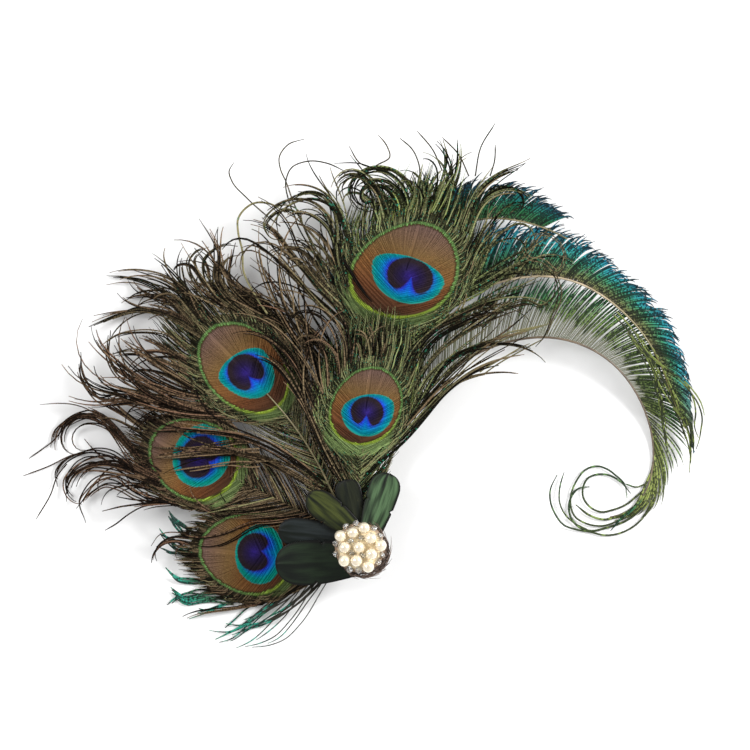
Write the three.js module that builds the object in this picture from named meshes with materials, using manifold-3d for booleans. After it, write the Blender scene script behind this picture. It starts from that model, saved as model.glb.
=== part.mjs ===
// Peacock feather hair clip: eye feathers and one-sided sword feathers fanned out over a sprung
// clip, with trimmed pad feathers, a ruff of down and a pearl brooch covering the quills.
// Millimetres, +Z up. The origin is the clip's flat underside below the brooch, and the clip lies
// on its back with the fan spread towards +Y.

import * as THREE from 'three';
import { mergeVertices } from 'three/addons/utils/BufferGeometryUtils.js';
import Module from 'manifold-3d';

const wasm = await Module();
wasm.setup();

const { clamp, degToRad, lerp, smoothstep } = THREE.MathUtils;

// Driving dimensions
const GAP = 0.3; // clearance between neighbouring pieces
const LAYER = 1.4; // height from one layer of feathers to the next
const QUILL = { width: 2.0, tip: 0.9, rise: 0.4, thick: 0.7, step: 14 };
const EYE_PLATE = { rise: 0, thick: 1.0, blunt: 0.12, steps: 8, rows: 2 };
const LOWER_VANE = { rise: 0.06, thick: 0.86, foot: 2, widens: 0.1, steps: 8, rows: 2 };
const LOCK = {
  rise: 0.13, stagger: 0.09, levels: 3, thick: 0.52, root: 0.5, full: 0.4, tapers: 0.55, tip: 0.16, step: 8,
};
const EYE_BAND = 4; // dense dark barbs outside the bright ring
const VANE = { rise: 0.05, thick: 0.85, notch: 0.86 };
const CLIP = { front: 38, back: -9, width: 10, plate: 1.2, leaf: 1.0, jaw: 3.2, colour: '#b9bcc0' };
const CLIP_TOP = CLIP.leaf + CLIP.jaw + CLIP.plate;
const DOME = { rise: 6, reach: 75 }; // the fan arches up from the clip
const ROUND_SIDES = 16;
const WELD = 1e-4; // corners closer than this are one corner
const ROUGHNESS = { clip: 0.3, eye: 0.75, sword: 0.55, pad: 0.45, down: 0.95, setting: 0.35, pearl: 0.2 };

// Places where feather ends settle: flat within `flat` of the point, free beyond `reach`, and
// lowered by `layers` so that the lowest feather there meets the surface it lies on
const SETTLES = [
  { x: 100, y: 18, flat: 18, reach: 70, layers: 0 },
  { x: -118, y: 33, flat: 8, reach: 48, layers: 2 },
  { x: -97, y: 100, flat: 6, reach: 40, layers: 3 },
  { x: -58, y: -28, flat: 14, reach: 46, layers: 0 },
];

// Eye feathers: quill from foot along its headings to the centre of the ring, ring length and
// width, and the locks of barbs, each rooted at a distance along the quill and coming clear of the
// eye or the vane after `clear` of its length
const EYE_FEATHERS = [
  {
    name: 'eye_feather_top', layer: 4, colour: '#4c5226', foot: [1, 5], headings: [87, 81, 71],
    shaft: 100, tilt: 73, ring: { length: 36, width: 40 },
    locks: [
      { root: 67, length: 69, clear: 10, width: 7, headings: [42, 26, 24, 15] },
      { root: 75, length: 86, clear: 24, width: 8, headings: [22, 32, 55, 70, 30, -105] },
      { root: 82, length: 73, clear: 20, width: 7, headings: [18, 20, 26, 30, 5, -85] },
      { root: 80, length: 92, clear: 38, width: 7, headings: [0, 30, 76, 82, 62, 8, -50] },
      { root: 95, length: 57, clear: 20, width: 11, headings: [70, 68, 62, 78, 122] },
      { root: 95, length: 48, clear: 20, width: 9, headings: [98, 84, 68, 80, 110] },
      { root: 96, length: 72, clear: 18, width: 10, headings: [95, 92, 82, 140, 205, 335] },
      { root: 94, length: 58, clear: 20, width: 10, headings: [112, 108, 98, 110, 160, 280] },
      { root: 70, length: 86, clear: 30, width: 9, headings: [118, 112, 108, 106, 182, 262] },
      { root: 62, length: 72, clear: 18, width: 11, headings: [112, 120, 118, 122, 155] },
      { root: 55, length: 92, clear: 16, width: 11, headings: [102, 118, 138, 130, 130, 218] },
      { root: 40, length: 88, clear: 12, width: 14, headings: [118, 126, 130, 118, 104] },
    ],
  },
  {
    name: 'eye_feather_upper_left', layer: 3, colour: '#4a4030', foot: [-3, 4],
    headings: [113, 116, 128, 138], shaft: 75, tilt: 135, ring: { length: 36, width: 30 },
    locks: [
      { root: 40, length: 94, clear: 22, width: 9, headings: [90, 98, 114, 150, 126, 160] },
      { root: 52, length: 86, clear: 36, width: 11, headings: [86, 97, 122, 156, 112, 200] },
      { root: 72, length: 58, clear: 18, width: 9, headings: [132, 130, 120, 118] },
      { root: 70, length: 71, clear: 20, width: 9, headings: [137, 134, 124, 160, 182] },
      { root: 66, length: 78, clear: 20, width: 9, headings: [150, 146, 116, 168, 198, 194] },
      { root: 52, length: 68, clear: 24, width: 16, headings: [152, 160, 152, 150, 165] },
      { root: 44, length: 92, clear: 22, width: 10, headings: [128, 172, 174, 160, 154, 150] },
      { root: 38, length: 103, clear: 18, width: 9, headings: [120, 170, 180, 166, 176, 112] },
      { root: 18, length: 58, clear: 6, width: 11, headings: [136, 158, 176, 182] },
    ],
  },
  {
    name: 'eye_feather_centre', layer: 5, colour: '#4a4422', foot: [-1, 6], headings: [88, 85, 80],
    shaft: 48, tilt: 82, ring: { length: 30, width: 27 },
    locks: [
      { root: 22, length: 49, clear: 6, width: 5, headings: [42, 41, 42, 39] },
      { root: 24, length: 85, clear: 12, width: 6, headings: [36, 50, 46, 26, 23] },
      { root: 26, length: 94, clear: 20, width: 7, headings: [40, 54, 64, 34, 20, 13] },
      { root: 36, length: 89, clear: 24, width: 7, headings: [50, 56, 66, 28, 21, 14] },
      { root: 24, length: 75, clear: 18, width: 9, headings: [128, 104, 88, 88, 130, 205] },
      { root: 12, length: 84, clear: 12, width: 14, headings: [122, 112, 106, 104] },
      { root: 48, length: 36, clear: 14, width: 12, headings: [84, 86, 88] },
    ],
  },
  {
    name: 'eye_feather_left', layer: 2, colour: '#3e322a', foot: [-1.5, 2.7], headings: [153, 153, 152],
    shaft: 68, tilt: 153, ring: { length: 34, width: 28 },
    locks: [
      { root: 57, length: 84, clear: 26, width: 9, headings: [192, 180, 148, 128, 156, 214, 262] },
      { root: 51, length: 77, clear: 26, width: 8, headings: [190, 182, 162, 164, 196, 250] },
      { root: 43, length: 74, clear: 24, width: 8, headings: [198, 188, 176, 160, 176, 246] },
      { root: 39, length: 64, clear: 18, width: 6, headings: [198, 188, 182, 212] },
      { root: 63, length: 50, clear: 20, width: 8, headings: [156, 152, 146, 160] },
    ],
  },
  {
    name: 'eye_feather_lower_left', layer: 1, colour: '#4a3a30', foot: [-1, -0.7],
    headings: [184, 184, 178], shaft: 42, tilt: 174, ring: { length: 34, width: 29 },
    locks: [
      { root: 7, length: 67, clear: 8, width: 7, headings: [130, 165, 185, 190, 165] },
      { root: 35, length: 48, clear: 18, width: 7, headings: [178, 172, 158, 240] },
      { root: 9, length: 64, clear: 10, width: 8, headings: [240, 206, 196, 165, 135] },
    ],
  },
];

// Sword feathers: curved quill with barbs on its outer side. Each vane row gives, at a share of
// the quill, the barbs' lean from it and their length; strands are loose barbs rooted at a share
const SWORD_FEATHERS = [
  {
    name: 'sword_feather_long', layer: 0, colour: '#5a6a34', foot: [4, 5], length: 209, teeth: 24,
    headings: [78, 74, 66, 43, 26, 5, -24, -53, -76, -107, -172],
    vane: [
      { at: 0.24, lean: 40, barb: 14 },
      { at: 0.40, lean: 56, barb: 26 },
      { at: 0.62, lean: 62, barb: 26 },
      { at: 0.78, lean: 44, barb: 16 },
      { at: 0.92, lean: 20, barb: 9 },
    ],
    strands: [
      { root: 0.86, length: 68, width: 5, headings: [-92, -104, -142, -178, -212, -246, -292] },
      { root: 0.93, length: 56, width: 3.6, headings: [-145, -178, -250, -350, -420] },
      { root: 0.98, length: 42, width: 3.6, headings: [-175, -200, -250, -290, -330] },
    ],
  },
  {
    name: 'sword_feather_middle', layer: 1, colour: '#3c6a58', foot: [3, 7], length: 214, teeth: 20,
    headings: [80, 80, 77, 66, 44, 22, 0, -31, -50, -70, -66],
    vane: [
      { at: 0.34, lean: 36, barb: 16 },
      { at: 0.50, lean: 46, barb: 24 },
      { at: 0.64, lean: 56, barb: 19 },
      { at: 0.80, lean: 44, barb: 13 },
      { at: 0.96, lean: 20, barb: 8 },
    ],
    strands: [
      { root: 0.80, length: 44, width: 4, headings: [-40, -54, -74, -98] },
      { root: 0.90, length: 36, width: 4, headings: [-72, -78, -92, -112] },
    ],
  },
  {
    name: 'sword_feather_upper', layer: 2, colour: '#1f4a5a', foot: [1, 7], length: 166, teeth: 18,
    headings: [82, 82, 80, 74, 52, -3, -30],
    vane: [
      { at: 0.40, lean: 34, barb: 40 },
      { at: 0.60, lean: 44, barb: 34 },
      { at: 0.74, lean: 50, barb: 21 },
      { at: 0.88, lean: 48, barb: 17 },
      { at: 0.99, lean: 40, barb: 10 },
    ],
    strands: [{ root: 0.34, length: 62, width: 6, headings: [118, 114, 116, 112] }],
  },
  {
    name: 'sword_feather_short', layer: 0, colour: '#3c6a5c', foot: [-1, -3.5], length: 63, teeth: 6,
    headings: [188, 182, 172],
    vane: [
      { at: 0.60, lean: 40, barb: 16 },
      { at: 0.99, lean: 24, barb: 18 },
    ],
    strands: [
      { root: 0.10, length: 57, width: 5, headings: [246, 227, 207, 190] },
      { root: 0.24, length: 55, width: 7, headings: [242, 226, 206, 187] },
      { root: 0.40, length: 48, width: 7, headings: [230, 212, 196, 190] },
      { root: 0.96, length: 22, width: 6, headings: [160, 150, 140] },
    ],
  },
];

// Pad feathers: rounded leaves laid over the quills round the brooch
const PAD = { edge: 0.7, rib: 0.3, shoulder: 0.6, foot: 0.35, round: 0.96, steps: 8, rows: 2 };
const PADS = [
  { foot: [-2, -5], heading: 183, length: 30, width: 17, layer: 7, colour: '#1d3328' },
  { foot: [-4, 3.5], heading: 174, length: 27, width: 11, layer: 6, colour: '#1b2e25' },
  { foot: [-3, 7], heading: 142, length: 21, width: 11, layer: 7, colour: '#4b5524' },
  { foot: [-1, 7], heading: 104, length: 19, width: 10, layer: 6, colour: '#232b1c' },
  { foot: [4, 6], heading: 72, length: 23, width: 12, layer: 7, colour: '#3c6446' },
];

// Down: short strips round a thin ring under the brooch, set towards the right and below
const DOWN = {
  layer: 8, centre: [1.4, -2.4], inner: 4, outer: 10, rise: 0.2, thick: 0.7, strips: 15, overlap: 1.5,
  length: 3.6, sweep: 16, width: 3.4, colour: '#3c2d28',
};

// Brooch: a shallow domed setting, pearls on it, small clear beads fused to it between the pearls
const BROOCH = {
  layer: 9, radius: 9.4, chamfer: 0.6, rim: 1.2, dome: 1.6, domeRadius: 10.4, domeSteps: 3, colour: '#efe6d2',
};
const PEARL = { radius: 2.05, sides: 10, rings: 6, colour: '#f7edd8' };
const BEAD = { radius: 1.05, sunk: 0.5 };
const PEARL_PLACES = [
  [-7.3, 4.5], [-2.7, 5.8], [1.5, 7.6], [4.0, 3.7], [7.8, 1.0], [-5.8, 0.2],
  [-0.3, 0.3], [4.3, -2.2], [-5.9, -4.7], [-1.3, -4.7], [3.1, -7.0],
];
const BEAD_PLACES = [
  [-5.3, 8.1], [-1.6, 9.3], [5.3, 7.4], [7.7, 4.6], [0.5, 3.9], [-3.4, 2.6], [-9.2, 1.5],
  [-9.0, -2.2], [-3.0, -1.9], [1.1, -2.9], [8.4, -2.6], [6.9, -5.3], [-3.9, -8.1], [-0.4, -8.4],
];

/** A level route of equal arcs: the heading turns evenly from each entry to the next. */
class ArcChain extends THREE.Curve {
  constructor(foot, headings, span) {
    super();
    this.foot = foot;
    this.headings = headings.map(degToRad);
    this.span = span;
  }

  headingAt(t) {
    const last = this.headings.length - 1;
    const entry = Math.min(Math.floor(t * last), last - 1);
    return lerp(this.headings[entry], this.headings[entry + 1], t * last - entry);
  }

  getPoint(t, target = new THREE.Vector3()) {
    const arcs = this.headings.length - 1;
    let [x, y] = this.foot;
    for (let arc = 0; arc < arcs; arc += 1) {
      const share = clamp(t * arcs - arc, 0, 1);
      const halfTurn = ((this.headings[arc + 1] - this.headings[arc]) * share) / 2;
      const straight = Math.abs(halfTurn) < WELD;
      const chord = ((this.span * share) / arcs) * (straight ? 1 : Math.sin(halfTurn) / halfTurn);
      const along = this.headings[arc] + halfTurn;
      x += chord * Math.cos(along);
      y += chord * Math.sin(along);
    }
    return target.set(x, y, 0);
  }
}

/** Height of the underside of a feather layer at a place in the fan. */
function lie(x, y, layer) {
  let height = CLIP_TOP + GAP + DOME.rise * (1 - Math.exp(-(x * x + y * y) / DOME.reach ** 2));
  for (const settle of SETTLES) {
    const free = smoothstep(Math.hypot(x - settle.x, y - settle.y), settle.flat, settle.reach);
    height = height * free - (1 - free) * settle.layers * LAYER;
  }
  return height + layer * LAYER;
}

/** A box whose corners are moved by place(along, across, up): along and up 0 to 1, across -1 to 1. */
function shapedBox(steps, rows, place) {
  const box = new THREE.BoxGeometry(1, 1, 1, steps, rows, 1);
  const corners = box.attributes.position;
  for (let i = 0; i < corners.count; i += 1) {
    const spot = place(corners.getX(i) + 0.5, corners.getY(i) * 2, corners.getZ(i) + 0.5);
    corners.setXYZ(i, spot.x, spot.y, spot.z);
  }
  return box;
}

/** A flat strip along a route from its share `first`, halfWidth(t) each side, rise to thick in its layer. */
function layeredStrip(route, halfWidth, { rise, thick, first = 0 }, layer, steps, rows = 1) {
  return shapedBox(steps, rows, (along, across, up) => {
    const t = lerp(first, 1, along);
    const spot = route.getPoint(t);
    const heading = route.headingAt(t);
    spot.x -= Math.sin(heading) * halfWidth(t) * across;
    spot.y += Math.cos(heading) * halfWidth(t) * across;
    spot.z = lie(spot.x, spot.y, layer) + rise + up * thick;
    return spot;
  });
}

/** The solid of a closed geometry. */
function toSolid(geometry) {
  const bare = geometry.clone();
  bare.deleteAttribute('normal');
  bare.deleteAttribute('uv');
  const merged = mergeVertices(bare, WELD);
  return new wasm.Manifold(new wasm.Mesh({
    numProp: 3,
    vertProperties: Float32Array.from(merged.attributes.position.array),
    triVerts: Uint32Array.from(merged.index.array),
  }));
}

/** Joins closed geometries into one, with the pinholes enclosed between crossing strips filled. */
function fuse(geometries) {
  const whole = geometries.map(toSolid).reduce((sum, solid) => sum.add(solid));
  const skins = whole.decompose().filter((skin) => skin.volume() > 0);
  if (skins.length !== 1) {
    throw new Error(`${skins.length} separate pieces where one was expected`);
  }
  const mesh = skins[0].getMesh();
  const joined = new THREE.BufferGeometry();
  joined.setAttribute('position', new THREE.BufferAttribute(Float32Array.from(mesh.vertProperties), 3));
  joined.setIndex(Array.from(mesh.triVerts));
  return joined;
}

function pieceMesh(name, geometry, colour, roughness) {
  geometry.computeVertexNormals();
  const material = new THREE.MeshStandardMaterial({ color: colour, roughness, metalness: 0 });
  const mesh = new THREE.Mesh(geometry, material);
  mesh.name = name;
  return mesh;
}

function quill(route, layer) {
  const halfWidth = (t) => lerp(QUILL.width, QUILL.tip, t) / 2;
  return layeredStrip(route, halfWidth, QUILL, layer, Math.ceil(route.span / QUILL.step));
}

/** A tapering lock of barbs: narrow at its root, full in the middle, fine at its tip. */
function lock(start, row, layer, number) {
  const route = new ArcChain(start, row.headings, row.length);
  const { length, clear = 0 } = row;
  const halfWidth = (t) => {
    const root = lerp(LOCK.root, 1, smoothstep(t, 0, LOCK.full));
    const tip = lerp(1, LOCK.tip, smoothstep(t, LOCK.tapers, 1));
    return (row.width / 2) * root * tip;
  };
  const rise = LOCK.rise + LOCK.stagger * (number % LOCK.levels);
  const level = { rise, thick: LOCK.thick, first: clear / length };
  return layeredStrip(route, halfWidth, level, layer, Math.ceil((length - clear) / LOCK.step));
}

/** The loose vane from the clip to the eye: barbs spreading from the quill. */
function lowerVane(shaft, ring, layer) {
  const { foot, widens, steps, rows } = LOWER_VANE;
  const halfWidth = (t) => lerp(foot, ring.width / 2 + EYE_BAND, smoothstep(t, widens, 1));
  return layeredStrip(shaft, halfWidth, LOWER_VANE, layer, steps, rows);
}

/** The oval eye with its dense dark band. */
function eyePlate(centre, feather) {
  const heading = degToRad(feather.tilt);
  return shapedBox(EYE_PLATE.steps, EYE_PLATE.rows, (along, across, up) => {
    const angle = Math.PI * lerp(EYE_PLATE.blunt, 1 - EYE_PLATE.blunt, along);
    const forward = -Math.cos(angle) * (feather.ring.length / 2 + EYE_BAND);
    const aside = Math.sin(angle) * across * (feather.ring.width / 2 + EYE_BAND);
    const x = centre.x + forward * Math.cos(heading) - aside * Math.sin(heading);
    const y = centre.y + forward * Math.sin(heading) + aside * Math.cos(heading);
    return { x, y, z: lie(x, y, feather.layer) + EYE_PLATE.rise + up * EYE_PLATE.thick };
  });
}

function eyeFeather(feather) {
  const shaft = new ArcChain(feather.foot, feather.headings, feather.shaft);
  const pieces = [
    quill(shaft, feather.layer),
    lowerVane(shaft, feather.ring, feather.layer),
    eyePlate(shaft.getPoint(1), feather),
  ];
  feather.locks.forEach((row, number) => {
    const root = shaft.getPoint(row.root / feather.shaft);
    pieces.push(lock([root.x, root.y], row, feather.layer, number));
  });
  return pieceMesh(feather.name, fuse(pieces), feather.colour, ROUGHNESS.eye);
}

/** One column of a table read at a share of the quill, straight between its rows. */
function readTable(rows, column, at) {
  const next = clamp(rows.findIndex((row) => row.at >= at), 1, rows.length - 1);
  const [low, high] = [rows[next - 1], rows[next]];
  return lerp(low[column], high[column], clamp((at - low.at) / (high.at - low.at), 0, 1));
}

/** The one-sided vane of a sword feather, with a toothed outer edge. */
function swordVane(rachis, feather) {
  const { vane, layer, teeth } = feather;
  const [first, last] = [vane[0].at, vane[vane.length - 1].at];
  const steps = teeth * 2;
  return shapedBox(steps, 1, (along, across, up) => {
    const at = lerp(first, last, along);
    const spot = rachis.getPoint(at);
    const heading = rachis.headingAt(at) + degToRad(readTable(vane, 'lean', at));
    const toothed = Math.round(along * steps) % 2 === 0 ? 1 : VANE.notch;
    const reach = readTable(vane, 'barb', at) * toothed * Math.max(across, 0);
    spot.x += Math.cos(heading) * reach;
    spot.y += Math.sin(heading) * reach;
    spot.z = lie(spot.x, spot.y, layer) + VANE.rise + up * VANE.thick;
    return spot;
  });
}

function swordFeather(feather) {
  const rachis = new ArcChain(feather.foot, feather.headings, feather.length);
  const pieces = [quill(rachis, feather.layer), swordVane(rachis, feather)];
  feather.strands.forEach((row, number) => {
    const root = rachis.getPoint(row.root);
    pieces.push(lock([root.x, root.y], row, feather.layer, number));
  });
  return pieceMesh(feather.name, fuse(pieces), feather.colour, ROUGHNESS.sword);
}

/** A rounded leaf with a raised rib: widening to its shoulder, then round. */
function padFeather(pad, number) {
  const route = new ArcChain(pad.foot, [pad.heading, pad.heading], pad.length);
  const leaf = shapedBox(PAD.steps, PAD.rows, (along, across, up) => {
    const past = Math.max(along - PAD.shoulder, 0) / (1 - PAD.shoulder);
    const widening = lerp(PAD.foot, 1, Math.sin(Math.min(along / PAD.shoulder, 1) * (Math.PI / 2)));
    const half = (pad.width / 2) * widening * Math.sqrt(1 - PAD.round * past ** 2);
    const spot = route.getPoint(along);
    const heading = degToRad(pad.heading);
    spot.x -= Math.sin(heading) * half * across;
    spot.y += Math.cos(heading) * half * across;
    spot.z = lie(spot.x, spot.y, pad.layer) + up * (PAD.edge + PAD.rib * (1 - Math.abs(across)));
    return spot;
  });
  return pieceMesh(`pad_feather_${number}`, leaf, pad.colour, ROUGHNESS.pad);
}

/** A lathe turned upright: its profile is given as radius and height. */
function turned(profile, sides) {
  const points = profile.map(([radius, height]) => new THREE.Vector2(radius, height));
  return new THREE.LatheGeometry(points, sides).rotateX(Math.PI / 2);
}

function baseDown() {
  const [x, y] = DOWN.centre;
  const low = lie(x, y, DOWN.layer) + DOWN.rise;
  const high = low + DOWN.thick;
  const section = [[DOWN.inner, low], [DOWN.outer, low], [DOWN.outer, high], [DOWN.inner, high]];
  const pieces = [turned([...section, section[0]], ROUND_SIDES).translate(x, y, 0)];
  const rooted = DOWN.outer - DOWN.overlap;
  for (let i = 0; i < DOWN.strips; i += 1) {
    const angle = (i / DOWN.strips) * 360;
    const start = [x + Math.cos(degToRad(angle)) * rooted, y + Math.sin(degToRad(angle)) * rooted];
    const turn = i % 2 ? DOWN.sweep : -DOWN.sweep;
    pieces.push(lock(start, { ...DOWN, headings: [angle, angle + turn] }, DOWN.layer, i));
  }
  return pieceMesh('base_down', fuse(pieces), DOWN.colour, ROUGHNESS.down);
}

/** Height of the setting's domed top at a distance from its centre. */
function settingTop(radius) {
  const low = lie(0, 0, BROOCH.layer) + GAP;
  return low + BROOCH.rim + BROOCH.dome * Math.sqrt(1 - (radius / BROOCH.domeRadius) ** 2);
}

function broochSetting() {
  const low = lie(0, 0, BROOCH.layer) + GAP;
  const { radius: rim, chamfer, domeSteps } = BROOCH;
  const profile = [[0, low], [rim - chamfer, low], [rim, low + chamfer]];
  for (let step = domeSteps; step >= 0; step -= 1) {
    const radius = (rim * step) / domeSteps;
    profile.push([radius, settingTop(radius)]);
  }
  const pieces = [turned(profile, ROUND_SIDES)];
  for (const [x, y] of BEAD_PLACES) {
    const radius = Math.min(Math.hypot(x, y), rim);
    const bead = new THREE.IcosahedronGeometry(BEAD.radius, 0);
    pieces.push(bead.translate(x, y, settingTop(radius) + BEAD.radius - BEAD.sunk));
  }
  return pieceMesh('brooch_setting', fuse(pieces), BROOCH.colour, ROUGHNESS.setting);
}

function pearls() {
  return PEARL_PLACES.map(([x, y], i) => {
    const height = settingTop(Math.hypot(x, y)) + PEARL.radius + GAP;
    const pearl = new THREE.SphereGeometry(PEARL.radius, PEARL.sides, PEARL.rings).rotateX(Math.PI / 2);
    const mesh = pieceMesh(`pearl_${String(i + 1).padStart(2, '0')}`, pearl, PEARL.colour, ROUGHNESS.pearl);
    mesh.position.set(x, y, height);
    return mesh;
  });
}

/** The sprung clip: a flat leaf below, a plate above, joined by the bend at the back. */
function hairClip() {
  const { front, back, width, leaf, jaw, colour } = CLIP;
  const bend = CLIP_TOP / 2;
  const side = new THREE.Shape();
  side.moveTo(back + bend, 0);
  side.lineTo(front, 0);
  side.lineTo(front, leaf);
  side.lineTo(back + bend, leaf);
  side.absarc(back + bend, leaf + jaw / 2, jaw / 2, -Math.PI / 2, Math.PI / 2, true);
  side.lineTo(front, leaf + jaw);
  side.lineTo(front, CLIP_TOP);
  side.lineTo(back + bend, CLIP_TOP);
  side.absarc(back + bend, bend, bend, Math.PI / 2, -Math.PI / 2, false);
  const body = new THREE.ExtrudeGeometry(side, { depth: width, bevelEnabled: false, curveSegments: 8 });
  body.rotateX(Math.PI / 2).rotateZ(Math.PI / 2).translate(-width / 2, 0, 0);
  return pieceMesh('hair_clip', body, colour, ROUGHNESS.clip);
}

const hairPiece = new THREE.Group();
hairPiece.name = 'peacock_feather_hair_clip';
hairPiece.add(
  hairClip(),
  ...SWORD_FEATHERS.map(swordFeather),
  ...EYE_FEATHERS.map(eyeFeather),
  ...PADS.map((pad, i) => padFeather(pad, i + 1)),
  baseDown(),
  broochSetting(),
  ...pearls(),
);

export default hairPiece;
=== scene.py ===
"""Dresses the peacock feather hair clip: eyes, barbs, quills, pad feathers, down, brooch and clip.

Every length is in millimetres until a mesh is made. The feathers follow the same quills, locks and
layers as the solids that they stand for.
"""
import logging
import math
from collections.abc import Callable
from dataclasses import dataclass, field
from enum import Enum

import bpy
import numpy as np
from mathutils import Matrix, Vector


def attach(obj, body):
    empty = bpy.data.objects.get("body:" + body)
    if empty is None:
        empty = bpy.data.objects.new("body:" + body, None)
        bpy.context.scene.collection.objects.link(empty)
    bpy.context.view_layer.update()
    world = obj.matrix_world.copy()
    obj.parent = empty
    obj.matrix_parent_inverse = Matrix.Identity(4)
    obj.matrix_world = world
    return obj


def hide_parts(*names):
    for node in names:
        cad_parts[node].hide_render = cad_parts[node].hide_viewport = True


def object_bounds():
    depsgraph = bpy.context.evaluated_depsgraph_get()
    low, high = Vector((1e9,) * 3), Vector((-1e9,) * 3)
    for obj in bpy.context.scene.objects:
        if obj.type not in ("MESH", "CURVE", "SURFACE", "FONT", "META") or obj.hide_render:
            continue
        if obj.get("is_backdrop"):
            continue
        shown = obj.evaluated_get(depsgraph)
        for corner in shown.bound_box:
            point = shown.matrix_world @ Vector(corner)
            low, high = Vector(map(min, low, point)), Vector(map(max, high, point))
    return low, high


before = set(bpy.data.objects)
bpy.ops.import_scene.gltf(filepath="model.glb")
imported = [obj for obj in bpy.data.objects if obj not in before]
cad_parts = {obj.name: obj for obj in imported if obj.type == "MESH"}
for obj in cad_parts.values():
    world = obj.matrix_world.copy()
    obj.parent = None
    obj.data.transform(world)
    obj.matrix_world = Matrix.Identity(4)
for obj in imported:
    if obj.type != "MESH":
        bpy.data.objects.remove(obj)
CAD_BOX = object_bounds()

LOG = logging.getLogger("hair_clip")
MM = 0.001

# Layers of the fan
LAYER = 1.4
CLIP_TOP = 5.4
GAP = 0.3
DOME_RISE = 6.0
DOME_REACH = 75.0
FLOOR_CLEAR = 0.05

# Quills and routes
QUILL_FOOT = 1.0
QUILL_TIP = 0.45
QUILL_STOPS = 56
FINE_STOPS = 241

# Barbs
FAR_FROM_EYE = 9.0
EGG_REACH = 1.5
WAVE_PHASE = 6.3
MIDDLE_SHARE = 0.5

# Finishes
GRAIN_DETAIL = 3.0

# Lean of barbs away from an eye's axis by the angle from its tip, in degrees
EYE_LEAN_AT = (0, 30, 60, 90, 120, 150, 180)
EYE_LEAN = (1, 30, 50, 60, 54, 47, 42)
HALO_LEAN_AT = (0, 60, 90, 135, 180)
HALO_LEAN = (0, 17, 26, 54, 82)

Array = np.ndarray
Random = np.random.Generator
Pair = tuple[float, float]
Piece = bpy.types.Object
Mesh = bpy.types.Mesh
Material = bpy.types.Material
Socket = bpy.types.NodeSocket
Colour = tuple[float, float, float, float]


class Slot(Enum):
    """Names of material slots."""

    CLIP = "clip_steel"
    SWORD = "sword_barbs"
    EYE = "eye_barbs"
    PAD = "pad_vane"
    DOWN = "down"
    SETTING = "setting_cream"
    PEARL = "pearl"


class Side(Enum):
    """Side of a quill, seen from its foot towards its tip."""

    LEFT = 1
    RIGHT = -1


class Section(Enum):
    """Cross sections of strands: number of sides, and thickness as a share of the width."""

    EYE_BARB = (3, 0.8)
    EYE_QUILL = (8, 0.7)
    SWORD_BARB = (4, 0.45)
    SWORD_QUILL = (8, 0.8)
    HAIR = (3, 1.0)


@dataclass(frozen=True)
class Settle:
    """A place where feather ends come down to the surface that they lie on."""

    x: float
    y: float
    flat: float
    reach: float
    layers: int


SETTLES = (
    Settle(100, 18, 18, 70, 0),
    Settle(-118, 33, 8, 48, 2),
    Settle(-97, 100, 6, 40, 3),
    Settle(-58, -28, 14, 46, 0),
)


def srgb(*seen: float) -> Colour:
    """Turns red, green and blue of 0 to 255, as seen, into linear light with full alpha."""
    shares = [value / 255 for value in seen]
    return (*(s / 12.92 if s <= 0.04045 else ((s + 0.055) / 1.055) ** 2.4 for s in shares), 1.0)


def smoothstep(value: Array, low: float, high: float) -> Array:
    """Eases from 0 at low to 1 at high, also where high is the smaller."""
    share = np.clip((value - low) / (high - low), 0, 1)
    return share * share * (3 - 2 * share)


def lie(x: Array, y: Array, layer: float) -> Array:
    """Height of the underside of a feather layer.

    Args:
        x: Places along X.
        y: Places along Y.
        layer: Number of the layer, counted from the clip.

    Returns:
        The heights at those places.
    """
    height = CLIP_TOP + GAP + DOME_RISE * (1 - np.exp(-(x * x + y * y) / DOME_REACH**2))
    for settle in SETTLES:
        free = smoothstep(np.hypot(x - settle.x, y - settle.y), settle.flat, settle.reach)
        height = height * free - (1 - free) * settle.layers * LAYER
    return height + layer * LAYER


def trace(feet: Array, headings: Array, spans: Array) -> Array:
    """Walks level routes made of equal arcs.

    Args:
        feet: Start of each route, (routes, 2).
        headings: Headings in degrees at even stops, (routes, stops).
        spans: Length of each route, (routes,).

    Returns:
        Places at the stops, (routes, stops, 2).
    """
    turn = np.radians(np.diff(headings, axis=1))
    middle = np.radians((headings[:, 1:] + headings[:, :-1]) / 2)
    chord = spans[:, None] / turn.shape[1] * np.sinc(turn / (2 * np.pi))
    steps = np.stack([np.cos(middle), np.sin(middle)], axis=-1) * chord[..., None]
    walked = np.concatenate([np.zeros((len(feet), 1, 2)), np.cumsum(steps, axis=1)], axis=1)
    return feet[:, None, :] + walked


def thread(points: tuple[Pair, ...], stops: int) -> Array:
    """Walks a smooth line through a few points in even steps.

    Args:
        points: Points that the line passes.
        stops: Number of places on it.

    Returns:
        The places, (stops, 2).
    """
    knots = np.array(points, float)
    gaps = np.hypot(*np.diff(knots, axis=0).T)
    passed = np.concatenate([[0.0], np.cumsum(gaps)])
    slopes = np.gradient(knots, passed, axis=0)
    walked = np.linspace(0, passed[-1], stops)
    span = np.clip(np.searchsorted(passed, walked, side="right") - 1, 0, len(gaps) - 1)
    gap = gaps[span][:, None]
    share = ((walked - passed[span]) / gaps[span])[:, None]
    left = (1 - share) ** 2
    right = share**2
    ends = left * (1 + 2 * share) * knots[span] + right * (3 - 2 * share) * knots[span + 1]
    return ends + gap * share * (1 - share) * ((1 - share) * slopes[span] - share * slopes[span + 1])


def aside(headings: Array) -> Array:
    """Unit vectors to the left of headings in degrees, with a last axis of 2."""
    return np.stack([-np.sin(np.radians(headings)), np.cos(np.radians(headings))], axis=-1)


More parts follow.
